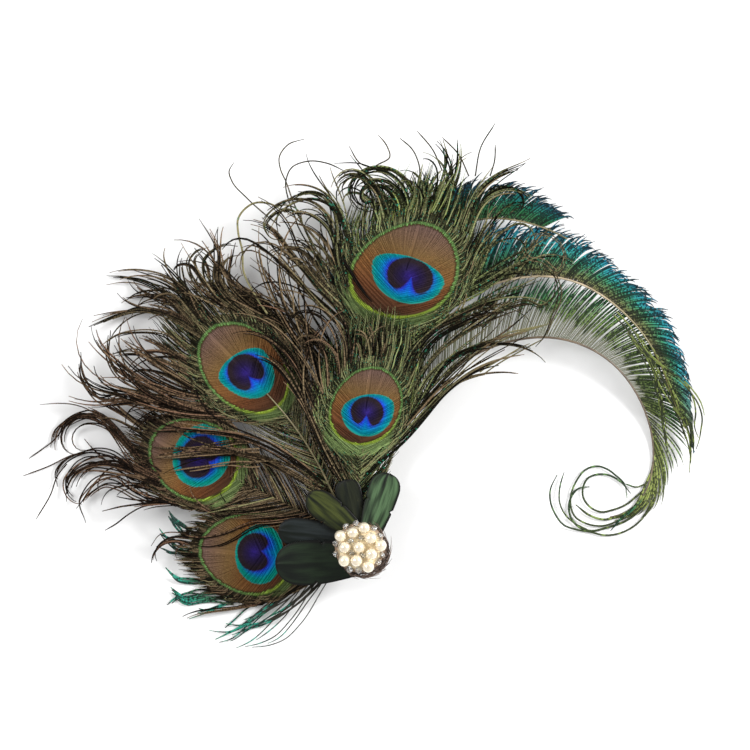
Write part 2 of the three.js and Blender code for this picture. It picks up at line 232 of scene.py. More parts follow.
@dataclass(frozen=True)
class BarbStyle:
    """A kind of barb: number of stops, half thickness, share lost at the tip and where the loss starts."""

    stops: int
    radius: float
    loss: float
    thins_from: float

    @property
    def share(self) -> Array:
        """Shares of the barb at its stops."""
        return np.linspace(0, 1, self.stops)

    @property
    def thickness(self) -> Array:
        """Half thickness at the stops."""
        return self.radius * (1 - self.loss * smoothstep(self.share, self.thins_from, 1.0))


@dataclass(frozen=True)
class Route:
    """A level route from a foot, whose heading turns evenly from each entry to the next."""

    foot: Pair
    headings: tuple[float, ...]
    span: float

    def heading(self, at: Array) -> Array:
        """Headings in degrees at shares of the route."""
        return np.interp(at, np.linspace(0, 1, len(self.headings)), self.headings)

    def place(self, at: Array) -> Array:
        """Places at shares of the route.

        Args:
            at: Shares of the route, 0 to 1.

        Returns:
            Places with a last axis of 2.
        """
        stops = np.linspace(0, 1, FINE_STOPS)
        walked = trace(np.array([self.foot]), self.heading(stops)[None], np.array([self.span]))[0]
        return np.stack([np.interp(at, stops, walked[:, axis]) for axis in (0, 1)], axis=-1)


@dataclass
class Strands:
    """Fine strands of one piece, gathered in batches and kept as lines with marks on their points."""

    layer: float
    places: list[Array] = field(default_factory=list)
    marks: dict[str, list[Array]] = field(default_factory=dict)
    links: list[Array] = field(default_factory=list)
    count: int = 0

    def add(self, ground: Array, rise: Array, radius: Array, tone: Array, tint: Array,
            along: Array, eye: Array | None = None) -> None:
        """Adds a batch of strands.

        Args:
            ground: Plan places, (strands, stops, 2).
            rise: Height above the layer's underside, broadcast to (strands, stops).
            radius: Half thickness, broadcast to (strands, stops).
            tone: One random share for each strand, (strands,).
            tint: Share of the second colour, broadcast to (strands, stops).
            along: Share of the strand at each stop, broadcast to (strands, stops).
            eye: Place within the eye or other pair of marks, (strands, stops, 2).
        """
        strands, stops = ground.shape[:2]
        shape = (strands, stops)
        radius = np.broadcast_to(radius, shape)
        height = lie(ground[..., 0], ground[..., 1], self.layer) + rise
        height = np.maximum(height, radius + FLOOR_CLEAR)
        self.places.append(np.concatenate([ground, height[..., None]], axis=-1).reshape(-1, 3))
        pair = np.full((*shape, 2), FAR_FROM_EYE) if eye is None else np.broadcast_to(eye, (*shape, 2))
        marked = {
            "radius": radius * MM,
            "tone": np.broadcast_to(tone[:, None], shape),
            "tint": np.broadcast_to(tint, shape),
            "along": np.broadcast_to(along, shape),
            "eye_u": pair[..., 0],
            "eye_v": pair[..., 1],
        }
        for name, values in marked.items():
            self.marks.setdefault(name, []).append(np.asarray(values, np.float32).reshape(-1))
        first = self.count + np.arange(strands)[:, None] * stops + np.arange(stops - 1)[None]
        self.links.append(np.stack([first, first + 1], axis=-1).reshape(-1, 2))
        self.count += strands * stops

    def to_object(self, name: str) -> Piece:
        """Makes an object of bare edges that carries the marks.

        Args:
            name: Name of the piece.

        Returns:
            The object, linked to the scene.
        """
        mesh = bpy.data.meshes.new(name)
        places = np.concatenate(self.places) * MM
        links = np.concatenate(self.links)
        mesh.vertices.add(len(places))
        mesh.vertices.foreach_set("co", places.astype(np.float32).ravel())
        mesh.edges.add(len(links))
        mesh.edges.foreach_set("vertices", links.astype(np.int32).ravel())
        set_marks(mesh, {mark: np.concatenate(values) for mark, values in self.marks.items()})
        mesh.update()
        return link_object(name, mesh)


def link_object(name: str, mesh: Mesh) -> Piece:
    """Puts a mesh into the scene as an object at the origin."""
    made = bpy.data.objects.new(name, mesh)
    bpy.context.scene.collection.objects.link(made)
    return made


def set_marks(mesh: Mesh, marks: dict[str, Array]) -> None:
    """Puts named numbers on the points of a mesh.

    Args:
        mesh: The mesh.
        marks: One number for each point, by name.
    """
    for name, values in marks.items():
        attribute = mesh.attributes.new(name, "FLOAT", "POINT")
        attribute.data.foreach_set("value", np.asarray(values, np.float32).ravel())


class NodeTree:
    """A Geometry Nodes tree with named inputs that ends in Realize Instances and Set Material."""

    def __init__(self, name: str, inputs: dict[str, str]) -> None:
        """Opens the tree.

        Args:
            name: Name of the tree.
            inputs: Socket type of each named input after the geometry.
        """
        self.tree = bpy.data.node_groups.new(name, "GeometryNodeTree")
        face = self.tree.interface
        face.new_socket("Geometry", in_out="INPUT", socket_type="NodeSocketGeometry")
        face.new_socket("Geometry", in_out="OUTPUT", socket_type="NodeSocketGeometry")
        self.named = {
            label: face.new_socket(label, in_out="INPUT", socket_type=kind).identifier
            for label, kind in {**inputs, "Material": "NodeSocketMaterial"}.items()
        }
        self.entry = self.tree.nodes.new("NodeGroupInput")

    def add(self, kind: str, feeds: dict[str, object], **settings: object) -> bpy.types.Node:
        """Adds a node.

        Args:
            kind: Node type after the prefix GeometryNode.
            feeds: Value or socket for each named input.
            settings: Properties of the node.

        Returns:
            The node.
        """
        node = self.tree.nodes.new("GeometryNode" + kind)
        for label, value in settings.items():
            setattr(node, label, value)
        for label, value in feeds.items():
            if isinstance(value, Socket):
                self.tree.links.new(value, node.inputs[label])
            else:
                node.inputs[label].default_value = value
        return node

    def close(self, result: Socket) -> None:
        """Ends the tree with the realized, painted result."""
        smooth = self.add("SetShadeSmooth", {"Geometry": result})
        real = self.add("RealizeInstances", {"Geometry": smooth.outputs[0]})
        material = self.entry.outputs["Material"]
        paint = self.add("SetMaterial", {"Geometry": real.outputs[0], "Material": material})
        leave = self.tree.nodes.new("NodeGroupOutput")
        self.tree.links.new(paint.outputs[0], leave.inputs[0])

    def apply(self, made: Piece, **values: object) -> Piece:
        """Runs the tree on an object and keeps the plain mesh.

        Args:
            made: Object that feeds the tree.
            values: Value of each named input, with spaces written as underscores.

        Returns:
            The same object.
        """
        modifier = made.modifiers.new(self.tree.name, "NODES")
        modifier.node_group = self.tree
        for label, value in values.items():
            modifier[self.named[label.replace("_", " ")]] = value
        evaluated = made.evaluated_get(bpy.context.evaluated_depsgraph_get())
        mesh = bpy.data.meshes.new_from_object(evaluated)
        made.modifiers.clear()
        made.data = mesh
        mesh.name = made.name
        return made


class StrandSweep(NodeTree):
    """Sweeps a small section along every strand, as thick as the strand's radius mark."""

    def __init__(self) -> None:
        """Builds the tree."""
        super().__init__("strand_sweep", {"Sides": "NodeSocketInt", "Flatness": "NodeSocketVector"})
        lines = self.add("MeshToCurve", {"Mesh": self.entry.outputs["Geometry"]})
        level = self.add("SetCurveNormal", {"Curve": lines.outputs[0]}, mode="Z_UP")
        radius = self.add("InputNamedAttribute", {"Name": "radius"}, data_type="FLOAT")
        ring = self.add("CurvePrimitiveCircle", {"Resolution": self.entry.outputs["Sides"], "Radius": 1.0})
        section = self.add(
            "Transform", {"Geometry": ring.outputs[0], "Scale": self.entry.outputs["Flatness"]}
        )
        tube = self.add("CurveToMesh", {
            "Curve": level.outputs[0],
            "Profile Curve": section.outputs[0],
            "Scale": radius.outputs["Attribute"],
            "Fill Caps": True,
        })
        self.close(tube.outputs[0])

    def thicken(self, strands: Strands, name: str, section: Section, material: Material) -> Piece:
        """Makes a piece of strands that have one cross section and one material."""
        sides, thickness = section.value
        return self.apply(
            strands.to_object(name), Sides=sides, Flatness=(1, thickness, 1), Material=material
        )


class BeadScatter(NodeTree):
    """Puts a copy of a bead on every point, turned as the point's turn mark says."""

    def __init__(self) -> None:
        """Builds the tree."""
        super().__init__("bead_scatter", {"Bead": "NodeSocketObject"})
        bead = self.add("ObjectInfo", {"Object": self.entry.outputs["Bead"], "As Instance": True})
        turn = self.add("InputNamedAttribute", {"Name": "turn"}, data_type="FLOAT_VECTOR")
        copies = self.add("InstanceOnPoints", {
            "Points": self.entry.outputs["Geometry"],
            "Instance": bead.outputs["Geometry"],
            "Rotation": turn.outputs["Attribute"],
        })
        self.close(copies.outputs[0])


class Paint:
    """A material's node tree with a Principled surface, written as nested calls."""

    def __init__(self, name: str) -> None:
        """Opens the material."""
        self.material = bpy.data.materials.new(name)
        self.material.use_nodes = True
        self.tree = self.material.node_tree
        self.tree.nodes.clear()
        self.surface = self.tree.nodes.new("ShaderNodeBsdfPrincipled")
        leave = self.tree.nodes.new("ShaderNodeOutputMaterial")
        self.tree.links.new(self.surface.outputs[0], leave.inputs["Surface"])

    def feed(self, socket: Socket, value: object) -> None:
        """Links a socket to another, or sets its value."""
        if isinstance(value, Socket):
            self.tree.links.new(value, socket)
        else:
            socket.default_value = value

    def set(self, **values: object) -> Material:
        """Feeds the surface.

        Args:
            values: Value or socket of each surface input, with spaces written as underscores.

        Returns:
            The material.
        """
        for label, value in values.items():
            self.feed(self.surface.inputs[label.replace("_", " ")], value)
        return self.material

    def node(self, kind: str, **feeds: object) -> bpy.types.Node:
        """Adds a node.

        Args:
            kind: Node type after the prefix ShaderNode.
            feeds: Value or socket of each input, with spaces written as underscores.

        Returns:
            The node.
        """
        node = self.tree.nodes.new("ShaderNode" + kind)
        for label, value in feeds.items():
            self.feed(node.inputs[label.replace("_", " ")], value)
        return node

    def mark(self, name: str) -> Socket:
        """A number carried by the mesh."""
        node = self.node("Attribute")
        node.attribute_name = name
        return node.outputs["Fac"]

    def math(self, operation: str, *values: object) -> Socket:
        """A sum on numbers.

        Args:
            operation: Name of the operation.
            values: Numbers or sockets.

        Returns:
            The result.
        """
        node = self.node("Math")
        node.operation = operation
        for socket, value in zip(node.inputs, values):
            self.feed(socket, value)
        return node.outputs[0]

    def times(self, value: object, factor: object) -> Socket:
        """A product of two numbers."""
        return self.math("MULTIPLY", value, factor)

    def ease(self, value: Socket, low: float, high: float) -> Socket:
        """Eases from 0 at low to 1 at high, also where high is the smaller."""
        least, most, rising = min(low, high), max(low, high), float(low <= high)
        node = self.node("MapRange", From_Min=least, From_Max=most, To_Min=1 - rising, To_Max=rising)
        node.interpolation_type = "SMOOTHSTEP"
        self.feed(node.inputs["Value"], value)
        return node.outputs[0]

    def ramp(self, value: Socket, stops: dict[float, Colour]) -> Socket:
        """A colour read off a ramp.

        Args:
            value: Where to read it.
            stops: Colour at each place.

        Returns:
            The colour.
        """
        node = self.node("ValToRGB")
        elements = node.color_ramp.elements
        while len(elements) < len(stops):
            elements.new(1.0)
        for element, (place, colour) in zip(elements, stops.items()):
            element.position = place
            element.color = colour
        self.feed(node.inputs[0], value)
        return node.outputs["Color"]

    def mix(self, share: object, first: object, second: object, blend: str = "MIX") -> Socket:
        """A mix of two colours.

        Args:
            share: Share of the second.
            first: First colour.
            second: Second colour.
            blend: Way of mixing.

        Returns:
            The mixed colour.
        """
        node = self.node("Mix")
        node.data_type = "RGBA"
        node.blend_type = blend
        for index, value in ((0, share), (6, first), (7, second)):
            self.feed(node.inputs[index], value)
        return node.outputs[2]

    def speckle(self, across: Socket, along: Socket, scale: float, detail: float = 2.0) -> Socket:
        """A noise on two numbers.

        Args:
            across: First number.
            along: Second number.
            scale: Fineness.
            detail: Levels of finer noise.

        Returns:
            The noise, about 0.5.
        """
        place = self.node("CombineXYZ", X=across, Y=along).outputs[0]
        node = self.node("TexNoise", Vector=place, Scale=scale, Detail=detail)
        node.noise_dimensions = "2D"
        return node.outputs["Fac"]

    def grain(self, scale: float) -> Socket:
        """A noise in the piece's own space, about 0.5, as fine as the scale for each metre."""
        place = self.node("TexCoord").outputs["Object"]
        return self.node("TexNoise", Vector=place, Scale=scale, Detail=GRAIN_DETAIL).outputs["Fac"]

    def bump(self, height: Socket, strength: float, distance: float) -> Socket:
        """A surface direction tilted by a height of 0 to 1, whose real measure in metres is the distance."""
        return self.node("Bump", Strength=strength, Distance=distance, Height=height).outputs[0]


def loose_barbs(paint: Paint) -> Socket:
    """Colour of loose barbs, from purple brown to yellow green by tint: near black and lighter barbs at
    random, partly their own tones and partly painted shade between barbs and painted highlights on them.

    Args:
        paint: Material that is being written.

    Returns:
        The colour.
    """
    tone, tint, along = (paint.mark(name) for name in ("tone", "tint", "along"))
    lane = paint.times(tone, 91.0)
    beads = paint.speckle(lane, paint.times(along, 34.0), 2.6)
    light = paint.math("ADD", paint.times(tone, 0.6), paint.times(beads, 0.8))
    dark = paint.ramp(tint, {
        0.0: srgb(13, 7, 4), 0.35: srgb(11, 8, 3), 0.7: srgb(11, 13, 4), 1.0: srgb(20, 28, 6),
    })
    bright = paint.ramp(tint, {
        0.0: srgb(116, 88, 70), 0.35: srgb(121, 107, 80), 0.7: srgb(136, 146, 98), 1.0: srgb(158, 168, 78),
    })
    # Painted light and shade: the lighter barbs stand partly for highlights, the near black partly for shade
    # between barbs.
    colour = paint.mix(paint.math("POWER", paint.ease(light, 0.46, 1.06), 1.9), dark, bright)
    glints = paint.ease(paint.speckle(lane, paint.times(along, 16.0), 1.7, 1.0), 0.68, 0.74)
    glints = paint.times(glints, paint.ease(tint, 0.3, 0.6))
    return paint.mix(glints, colour, srgb(40, 108, 84))


@dataclass(frozen=True)
class Oval:
    """An oval in shares of the eye's ring: middle, half width, and reach towards the foot and the tip."""

    at: Pair
    half: float
    low: float
    high: float


@dataclass(frozen=True)
class EyeFinish:
    """Barbs of an eye feather: the eye's zones as shares of the ring, and the loose barbs round it."""

    name: str
    blue: Oval
    pupil: Oval
    notch_at: Pair
    notch_slope: float = 0.6
    roll: float = 0.0
    teal: float = 0.3
    egg: float = 0.1
    skew: float = 0.0
    lobe_round: float = 0.8
    spill: float = 0.5

    def dress(self) -> Material:
        """Writes the material."""
        return EyePaint(self).dress()


class EyePaint(Paint):
    """The material of an eye feather, written from its finish and the places of its barbs in the eye."""

    def __init__(self, finish: EyeFinish) -> None:
        """Opens the material and reads the marks."""
        super().__init__(finish.name)
        self.finish = finish
        self.across, self.forward, self.tone = (self.mark(name) for name in ("eye_u", "eye_v", "tone"))
        self.ragged = self.times(self.math("SUBTRACT", self.tone, 0.5), 0.03)
        weave = self.speckle(self.times(self.tone, 67.0), self.times(self.mark("along"), 26.0), 2.0, 1.0)
        woven = self.math("MULTIPLY_ADD", weave, 1.2, 0.34)
        self.shade = self.math("ADD", self.times(self.tone, 0.2), woven)
        self.broken = self.times(weave, self.math("MULTIPLY_ADD", self.tone, 1.4, 1.2))

    def oval(self, zone: Oval, roll: float = 0.0) -> Socket:
        """Distance of the barbs from the middle of an oval, 1 on its outline.

        Args:
            zone: The oval.
            roll: Turn of the oval in degrees.

        Returns:
            The distance.
        """
        sine, cosine = math.sin(math.radians(roll)), math.cos(math.radians(roll))
        place_u = self.math("MULTIPLY_ADD", self.across, cosine, self.times(self.forward, sine))
        place_v = self.math("MULTIPLY_ADD", self.forward, cosine, self.times(self.across, -sine))
        across = self.math("DIVIDE", self.math("SUBTRACT", place_u, zone.at[0]), zone.half)
        forward = self.math("SUBTRACT", place_v, zone.at[1])
        ahead = self.times(self.math("MAXIMUM", forward, 0.0), 1 / zone.high)
        behind = self.times(self.math("MAXIMUM", self.times(forward, -1.0), 0.0), 1 / zone.low)
        lengthwise = self.math("ADD", ahead, behind)
        squares = [self.times(share, share) for share in (across, lengthwise)]
        return self.math("ADD", self.math("SQRT", self.math("ADD", *squares)), self.ragged)

    def ring(self) -> Socket:
        """Distance of the barbs from the middle of the eye, 1 on its egg-shaped ring.

        Returns:
            The distance.
        """
        egged = self.times(self.across, self.math("MULTIPLY_ADD", self.forward, self.finish.egg, 1.0))
        slant = self.math("MULTIPLY_ADD", self.forward, -2 * self.finish.skew, egged)
        square = self.math("MULTIPLY_ADD", egged, slant, self.times(self.forward, self.forward))
        return self.math("ADD", self.math("SQRT", square), self.ragged)

    def lobes(self, pupil: Socket) -> Socket:
        """Distance outside the pupil once its notch is cut, 0 on its outline.

        Args:
            pupil: Distance from the middle of the pupil's oval.

        Returns:
            The distance.
        """
        finish = self.finish
        below = self.math("SUBTRACT", finish.notch_at[1], self.forward)
        off_axis = self.math("ABSOLUTE", self.math("SUBTRACT", self.across, finish.notch_at[0]))
        wedge = self.math("SUBTRACT", self.times(below, finish.notch_slope), off_axis)
        wedge = self.times(wedge, 1 / (finish.pupil.half * math.hypot(1, finish.notch_slope)))
        return self.math("SMOOTH_MAX", self.math("SUBTRACT", pupil, 1.0), wedge, finish.lobe_round)

    def inside(self) -> Socket:
        """Colour within the ring: copper, the blue zone and the dark pupil.

        Returns:
            The colour.
        """
        blue = self.oval(self.finish.blue, self.finish.roll)
        pupil = self.oval(self.finish.pupil)
        lobes = self.lobes(pupil)
        copper = self.ramp(self.math("MULTIPLY_ADD", self.forward, 0.5, 0.5), {
            0.0: srgb(56, 38, 28), 0.25: srgb(90, 55, 33), 0.5: srgb(112, 76, 42), 0.68: srgb(110, 85, 52),
            0.95: srgb(102, 80, 72),
        })
        zone = self.ramp(lobes, {
            0.0: srgb(46, 38, 150), 0.1: srgb(26, 70, 190), 0.28: srgb(8, 104, 182), 0.5: srgb(0, 130, 164),
        })
        teal = self.mix(self.finish.teal, srgb(0, 116, 132), srgb(0, 130, 98))
        zone = self.mix(self.ease(blue, 0.55, 0.95), zone, teal)
        zone = self.mix(self.ease(blue, 0.9, 0.97), zone, srgb(20, 130, 122))
        dark = self.ramp(pupil, {0.0: srgb(46, 32, 112), 0.4: srgb(36, 26, 66), 0.8: srgb(38, 29, 36)})
        colour = self.mix(self.ease(blue, 1.02, 0.98), copper, zone)
        colour = self.mix(self.ease(lobes, 0.05, -0.03), colour, dark)
        return self.mix(1.0, colour, self.shade, "MULTIPLY")

    def dress(self) -> Material:
        """Writes the eye, its lime outline and the dark band, lit at the foot, that ends in loose barbs.

        Returns:
            The material.
        """
        ring = self.ring()
        foot = self.ease(self.forward, 0.1, -0.9)
        inside = self.mix(self.ease(ring, 0.9, 0.95), self.inside(), srgb(58, 44, 26))
        spill = self.times(self.ease(self.forward, -0.45, -1.0), self.finish.spill)
        loose = loose_barbs(self)
        lit = self.mix(1.0, srgb(116, 138, 84), self.broken, "MULTIPLY")
        glow = self.mix(foot, srgb(34, 38, 26), srgb(44, 54, 26))
        glow = self.mix(spill, glow, self.mix(0.3, lit, loose))
        reach = self.math("MULTIPLY_ADD", spill, -0.24, self.math("MULTIPLY_ADD", foot, -0.03, ring))
        band = self.mix(self.ease(reach, 0.98, 1.06), glow, loose)
        lime = self.mix(foot, srgb(90, 122, 68), srgb(120, 140, 48))
        lime = self.mix(1.0, lime, self.broken, "MULTIPLY")
        outline = self.times(self.ease(ring, 0.942, 0.966), self.ease(ring, 1.025, 0.995))
        colour = self.mix(self.ease(ring, 0.985, 1.0), inside, band)
        colour = self.mix(outline, colour, lime)
        return self.set(Base_Color=colour, Roughness=0.55, Specular_IOR_Level=0.06)


@dataclass(frozen=True)
class SwordFinish:
    """Barbs of a sword feather: colours along the barb, dark strokes of painted shade across it, and the end
    of the vane.
    """

    name: str
    stops: tuple[tuple[float, Colour], ...]
    shade_stroke: float = 0.5
    end_at: float = 2.0
    end: Colour = srgb(132, 150, 66)
    stalk: Colour = srgb(96, 90, 78)

    def dress(self) -> Material:
        """Writes the material.

        Returns:
            The material.
        """
        paint = Paint(self.name)
        tone, along, share = (paint.mark(name) for name in ("tone", "along", "tint"))
        bare = paint.mark("eye_u")
        colour = paint.ramp(along, dict(self.stops))
        colour = paint.mix(paint.ease(share, self.end_at - 0.07, self.end_at + 0.07), colour, self.end)
        cells = paint.speckle(paint.times(tone, 73.0), paint.times(along, 9.0), 2.2, 1.0)
        # Painted shade: dark strokes that stand for the shaded sides of the barbs and the shade between
        # them.
        gaps = paint.ease(paint.math("ADD", cells, paint.times(tone, 0.4)), 0.84, 0.68)
        colour = paint.mix(paint.times(gaps, self.shade_stroke), colour, srgb(14, 20, 20))
        stalk = paint.ease(paint.math("SUBTRACT", along, bare), 0.03, -0.03)
        colour = paint.mix(stalk, colour, self.stalk)
        return paint.set(Base_Color=colour, Roughness=0.42, Specular_IOR_Level=0.2)


@dataclass(frozen=True)
class StrandFinish:
    """A plain strand with lighter and darker stretches: quills and down."""

    name: str
    dark: Colour
    light: Colour
    roughness: float
    fade_at: float = 2.0
    fade: Colour = srgb(104, 98, 56)

    def dress(self) -> Material:
        """Writes the material.

        Returns:
            The material.
        """
        paint = Paint(self.name)
        tone, along = paint.mark("tone"), paint.mark("along")
        flecks = paint.speckle(paint.times(tone, 57.0), paint.times(along, 11.0), 2.0)
        light = paint.math("ADD", paint.times(tone, 0.5), paint.times(flecks, 0.5))
        colour = paint.mix(paint.ease(light, 0.25, 0.8), self.dark, self.light)
        colour = paint.mix(paint.ease(along, self.fade_at - 0.1, self.fade_at + 0.1), colour, self.fade)
        return paint.set(Base_Color=colour, Roughness=self.roughness)


@dataclass(frozen=True)
class PadFinish:
    """Satin vane with fine barb lines fanning out from its foot and a near black rim."""

    name: str
    middle: Colour
    rim: Colour

    def dress(self) -> Material:
        """Writes the material.

        Returns:
            The material.
        """
        paint = Paint(self.name)
        along, across = paint.mark("vane_along"), paint.mark("vane_across")
        lines = paint.speckle(paint.times(across, 26.0), paint.times(along, 0.12), 1.0)
        broad = paint.speckle(paint.times(across, 2.2), paint.times(along, 0.05), 1.0)
        colour = paint.mix(paint.ease(broad, 0.3, 0.7), self.rim, self.middle)
        colour = paint.mix(paint.times(paint.ease(lines, 0.55, 0.35), 0.35), colour, self.rim)
        colour = paint.mix(paint.mark("vane_edge"), colour, srgb(6, 6, 5))
        normal = paint.bump(lines, 0.25, 0.0002)
        return paint.set(Base_Color=colour, Roughness=0.4, Normal=normal, Specular_IOR_Level=0.16)


@dataclass(frozen=True)
class GrainFinish:
    """A finish of two close colours in a fine grain, with the values of its surface."""

    name: str
    first: Colour
    second: Colour
    fineness: float
    surface: dict[str, object]
    eased: Pair = (0.0, 0.0)

    def dress(self) -> Material:
        """Writes the material.

        Returns:
            The material.
        """
        paint = Paint(self.name)
        share = paint.grain(self.fineness)
        if any(self.eased):
            share = paint.ease(share, *self.eased)
        return paint.set(Base_Color=paint.mix(share, self.first, self.second), **self.surface)


PEARL_LUSTRE = GrainFinish(
    "pearl_lustre", srgb(242, 231, 207), srgb(236, 221, 197), 420.0,
    {"Metallic": 0.55, "Roughness": 0.16, "Coat_Weight": 1.0, "Coat_Roughness": 0.05}, (0.35, 0.7),
)
CLEAR_BEAD = GrainFinish(
    "clear_bead", srgb(255, 255, 255), srgb(240, 246, 250), 800.0,
    {"Roughness": 0.04, "Transmission_Weight": 0.9, "IOR": 1.5},
)
STUDIO_FLOOR = GrainFinish(
    "studio_floor", srgb(226, 226, 226), srgb(228, 228, 228), 3.0,
    {
        "Roughness": 0.9, "Specular_IOR_Level": 0.1, "Emission_Color": srgb(255, 252, 250),
        "Emission_Strength": 0.05,
    },
)


@dataclass(frozen=True)
class SettingFinish:
    """Cream base with a slightly uneven moulded skin and painted shade darkening its rim."""

    name: str = "setting_cream"

    def dress(self) -> Material:
        """Writes the material.

        Returns:
            The material.
        """
        paint = Paint(self.name)
        grain = paint.grain(900.0)
        colour = paint.mix(grain, srgb(250, 226, 176), srgb(252, 240, 212))
        # Painted shade: the colour darkens towards the rim's edge.
        colour = paint.mix(paint.ease(paint.mark("rim_share"), 0.78, 0.94), colour, srgb(128, 104, 80))
        return paint.set(Base_Color=colour, Roughness=0.4, Normal=paint.bump(grain, 0.3, 0.0002))


@dataclass(frozen=True)
class SteelFinish:
    """Plated spring steel with fine lengthwise brushing and dull patches."""

    name: str = "clip_steel"

    def dress(self) -> Material:
        """Writes the material.

        Returns:
            The material.
        """
        paint = Paint(self.name)
        place = paint.node("TexCoord").outputs["Object"]
        stretched = paint.node("Mapping", Vector=place, Scale=(9000.0, 120.0, 9000.0)).outputs[0]
        brush = paint.node("TexNoise", Vector=stretched, Scale=1.0).outputs["Fac"]
        patches = paint.grain(160.0)
        colour = paint.mix(patches, srgb(176, 178, 182), srgb(208, 210, 212))
        rough = paint.math("MULTIPLY_ADD", brush, 0.25, 0.18)
        normal = paint.bump(brush, 0.25, 0.00005)
        return paint.set(Base_Color=colour, Metallic=1.0, Roughness=rough, Normal=normal)


def hand_in(made: Piece, slot: Slot, *nodes: str) -> None:
    """Rides a piece on the clip, hides the solids that it stands for, and reports its number of faces.

    Args:
        made: The piece.
        slot: Not used.
        nodes: Solids that the piece stands for.
    """
    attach(made, "root")
    if nodes:
        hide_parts(*nodes)
    LOG.info("%s: %d faces", made.name, len(made.data.polygons))


@dataclass(frozen=True)
class Lock:
    """A lock of barbs: root along the quill, length, bare start, width, headings, tint, and how freely its
    barbs stray."""

    root: float
    length: float
    clear: float
    width: float
    headings: tuple[float, ...]
    tint: float = 0.35
    loose: float = 1.0


@dataclass(frozen=True)
class Wisp:
    """A few barbs that run together through chosen points."""

    points: tuple[Pair, ...]
    tint: float = 0.35
    radius: float = 0.33
    strands: int = 1
    spread: float = 0.6
    rise: float = 0.9
    tone: float = 0.45
    bare: float = 0.0


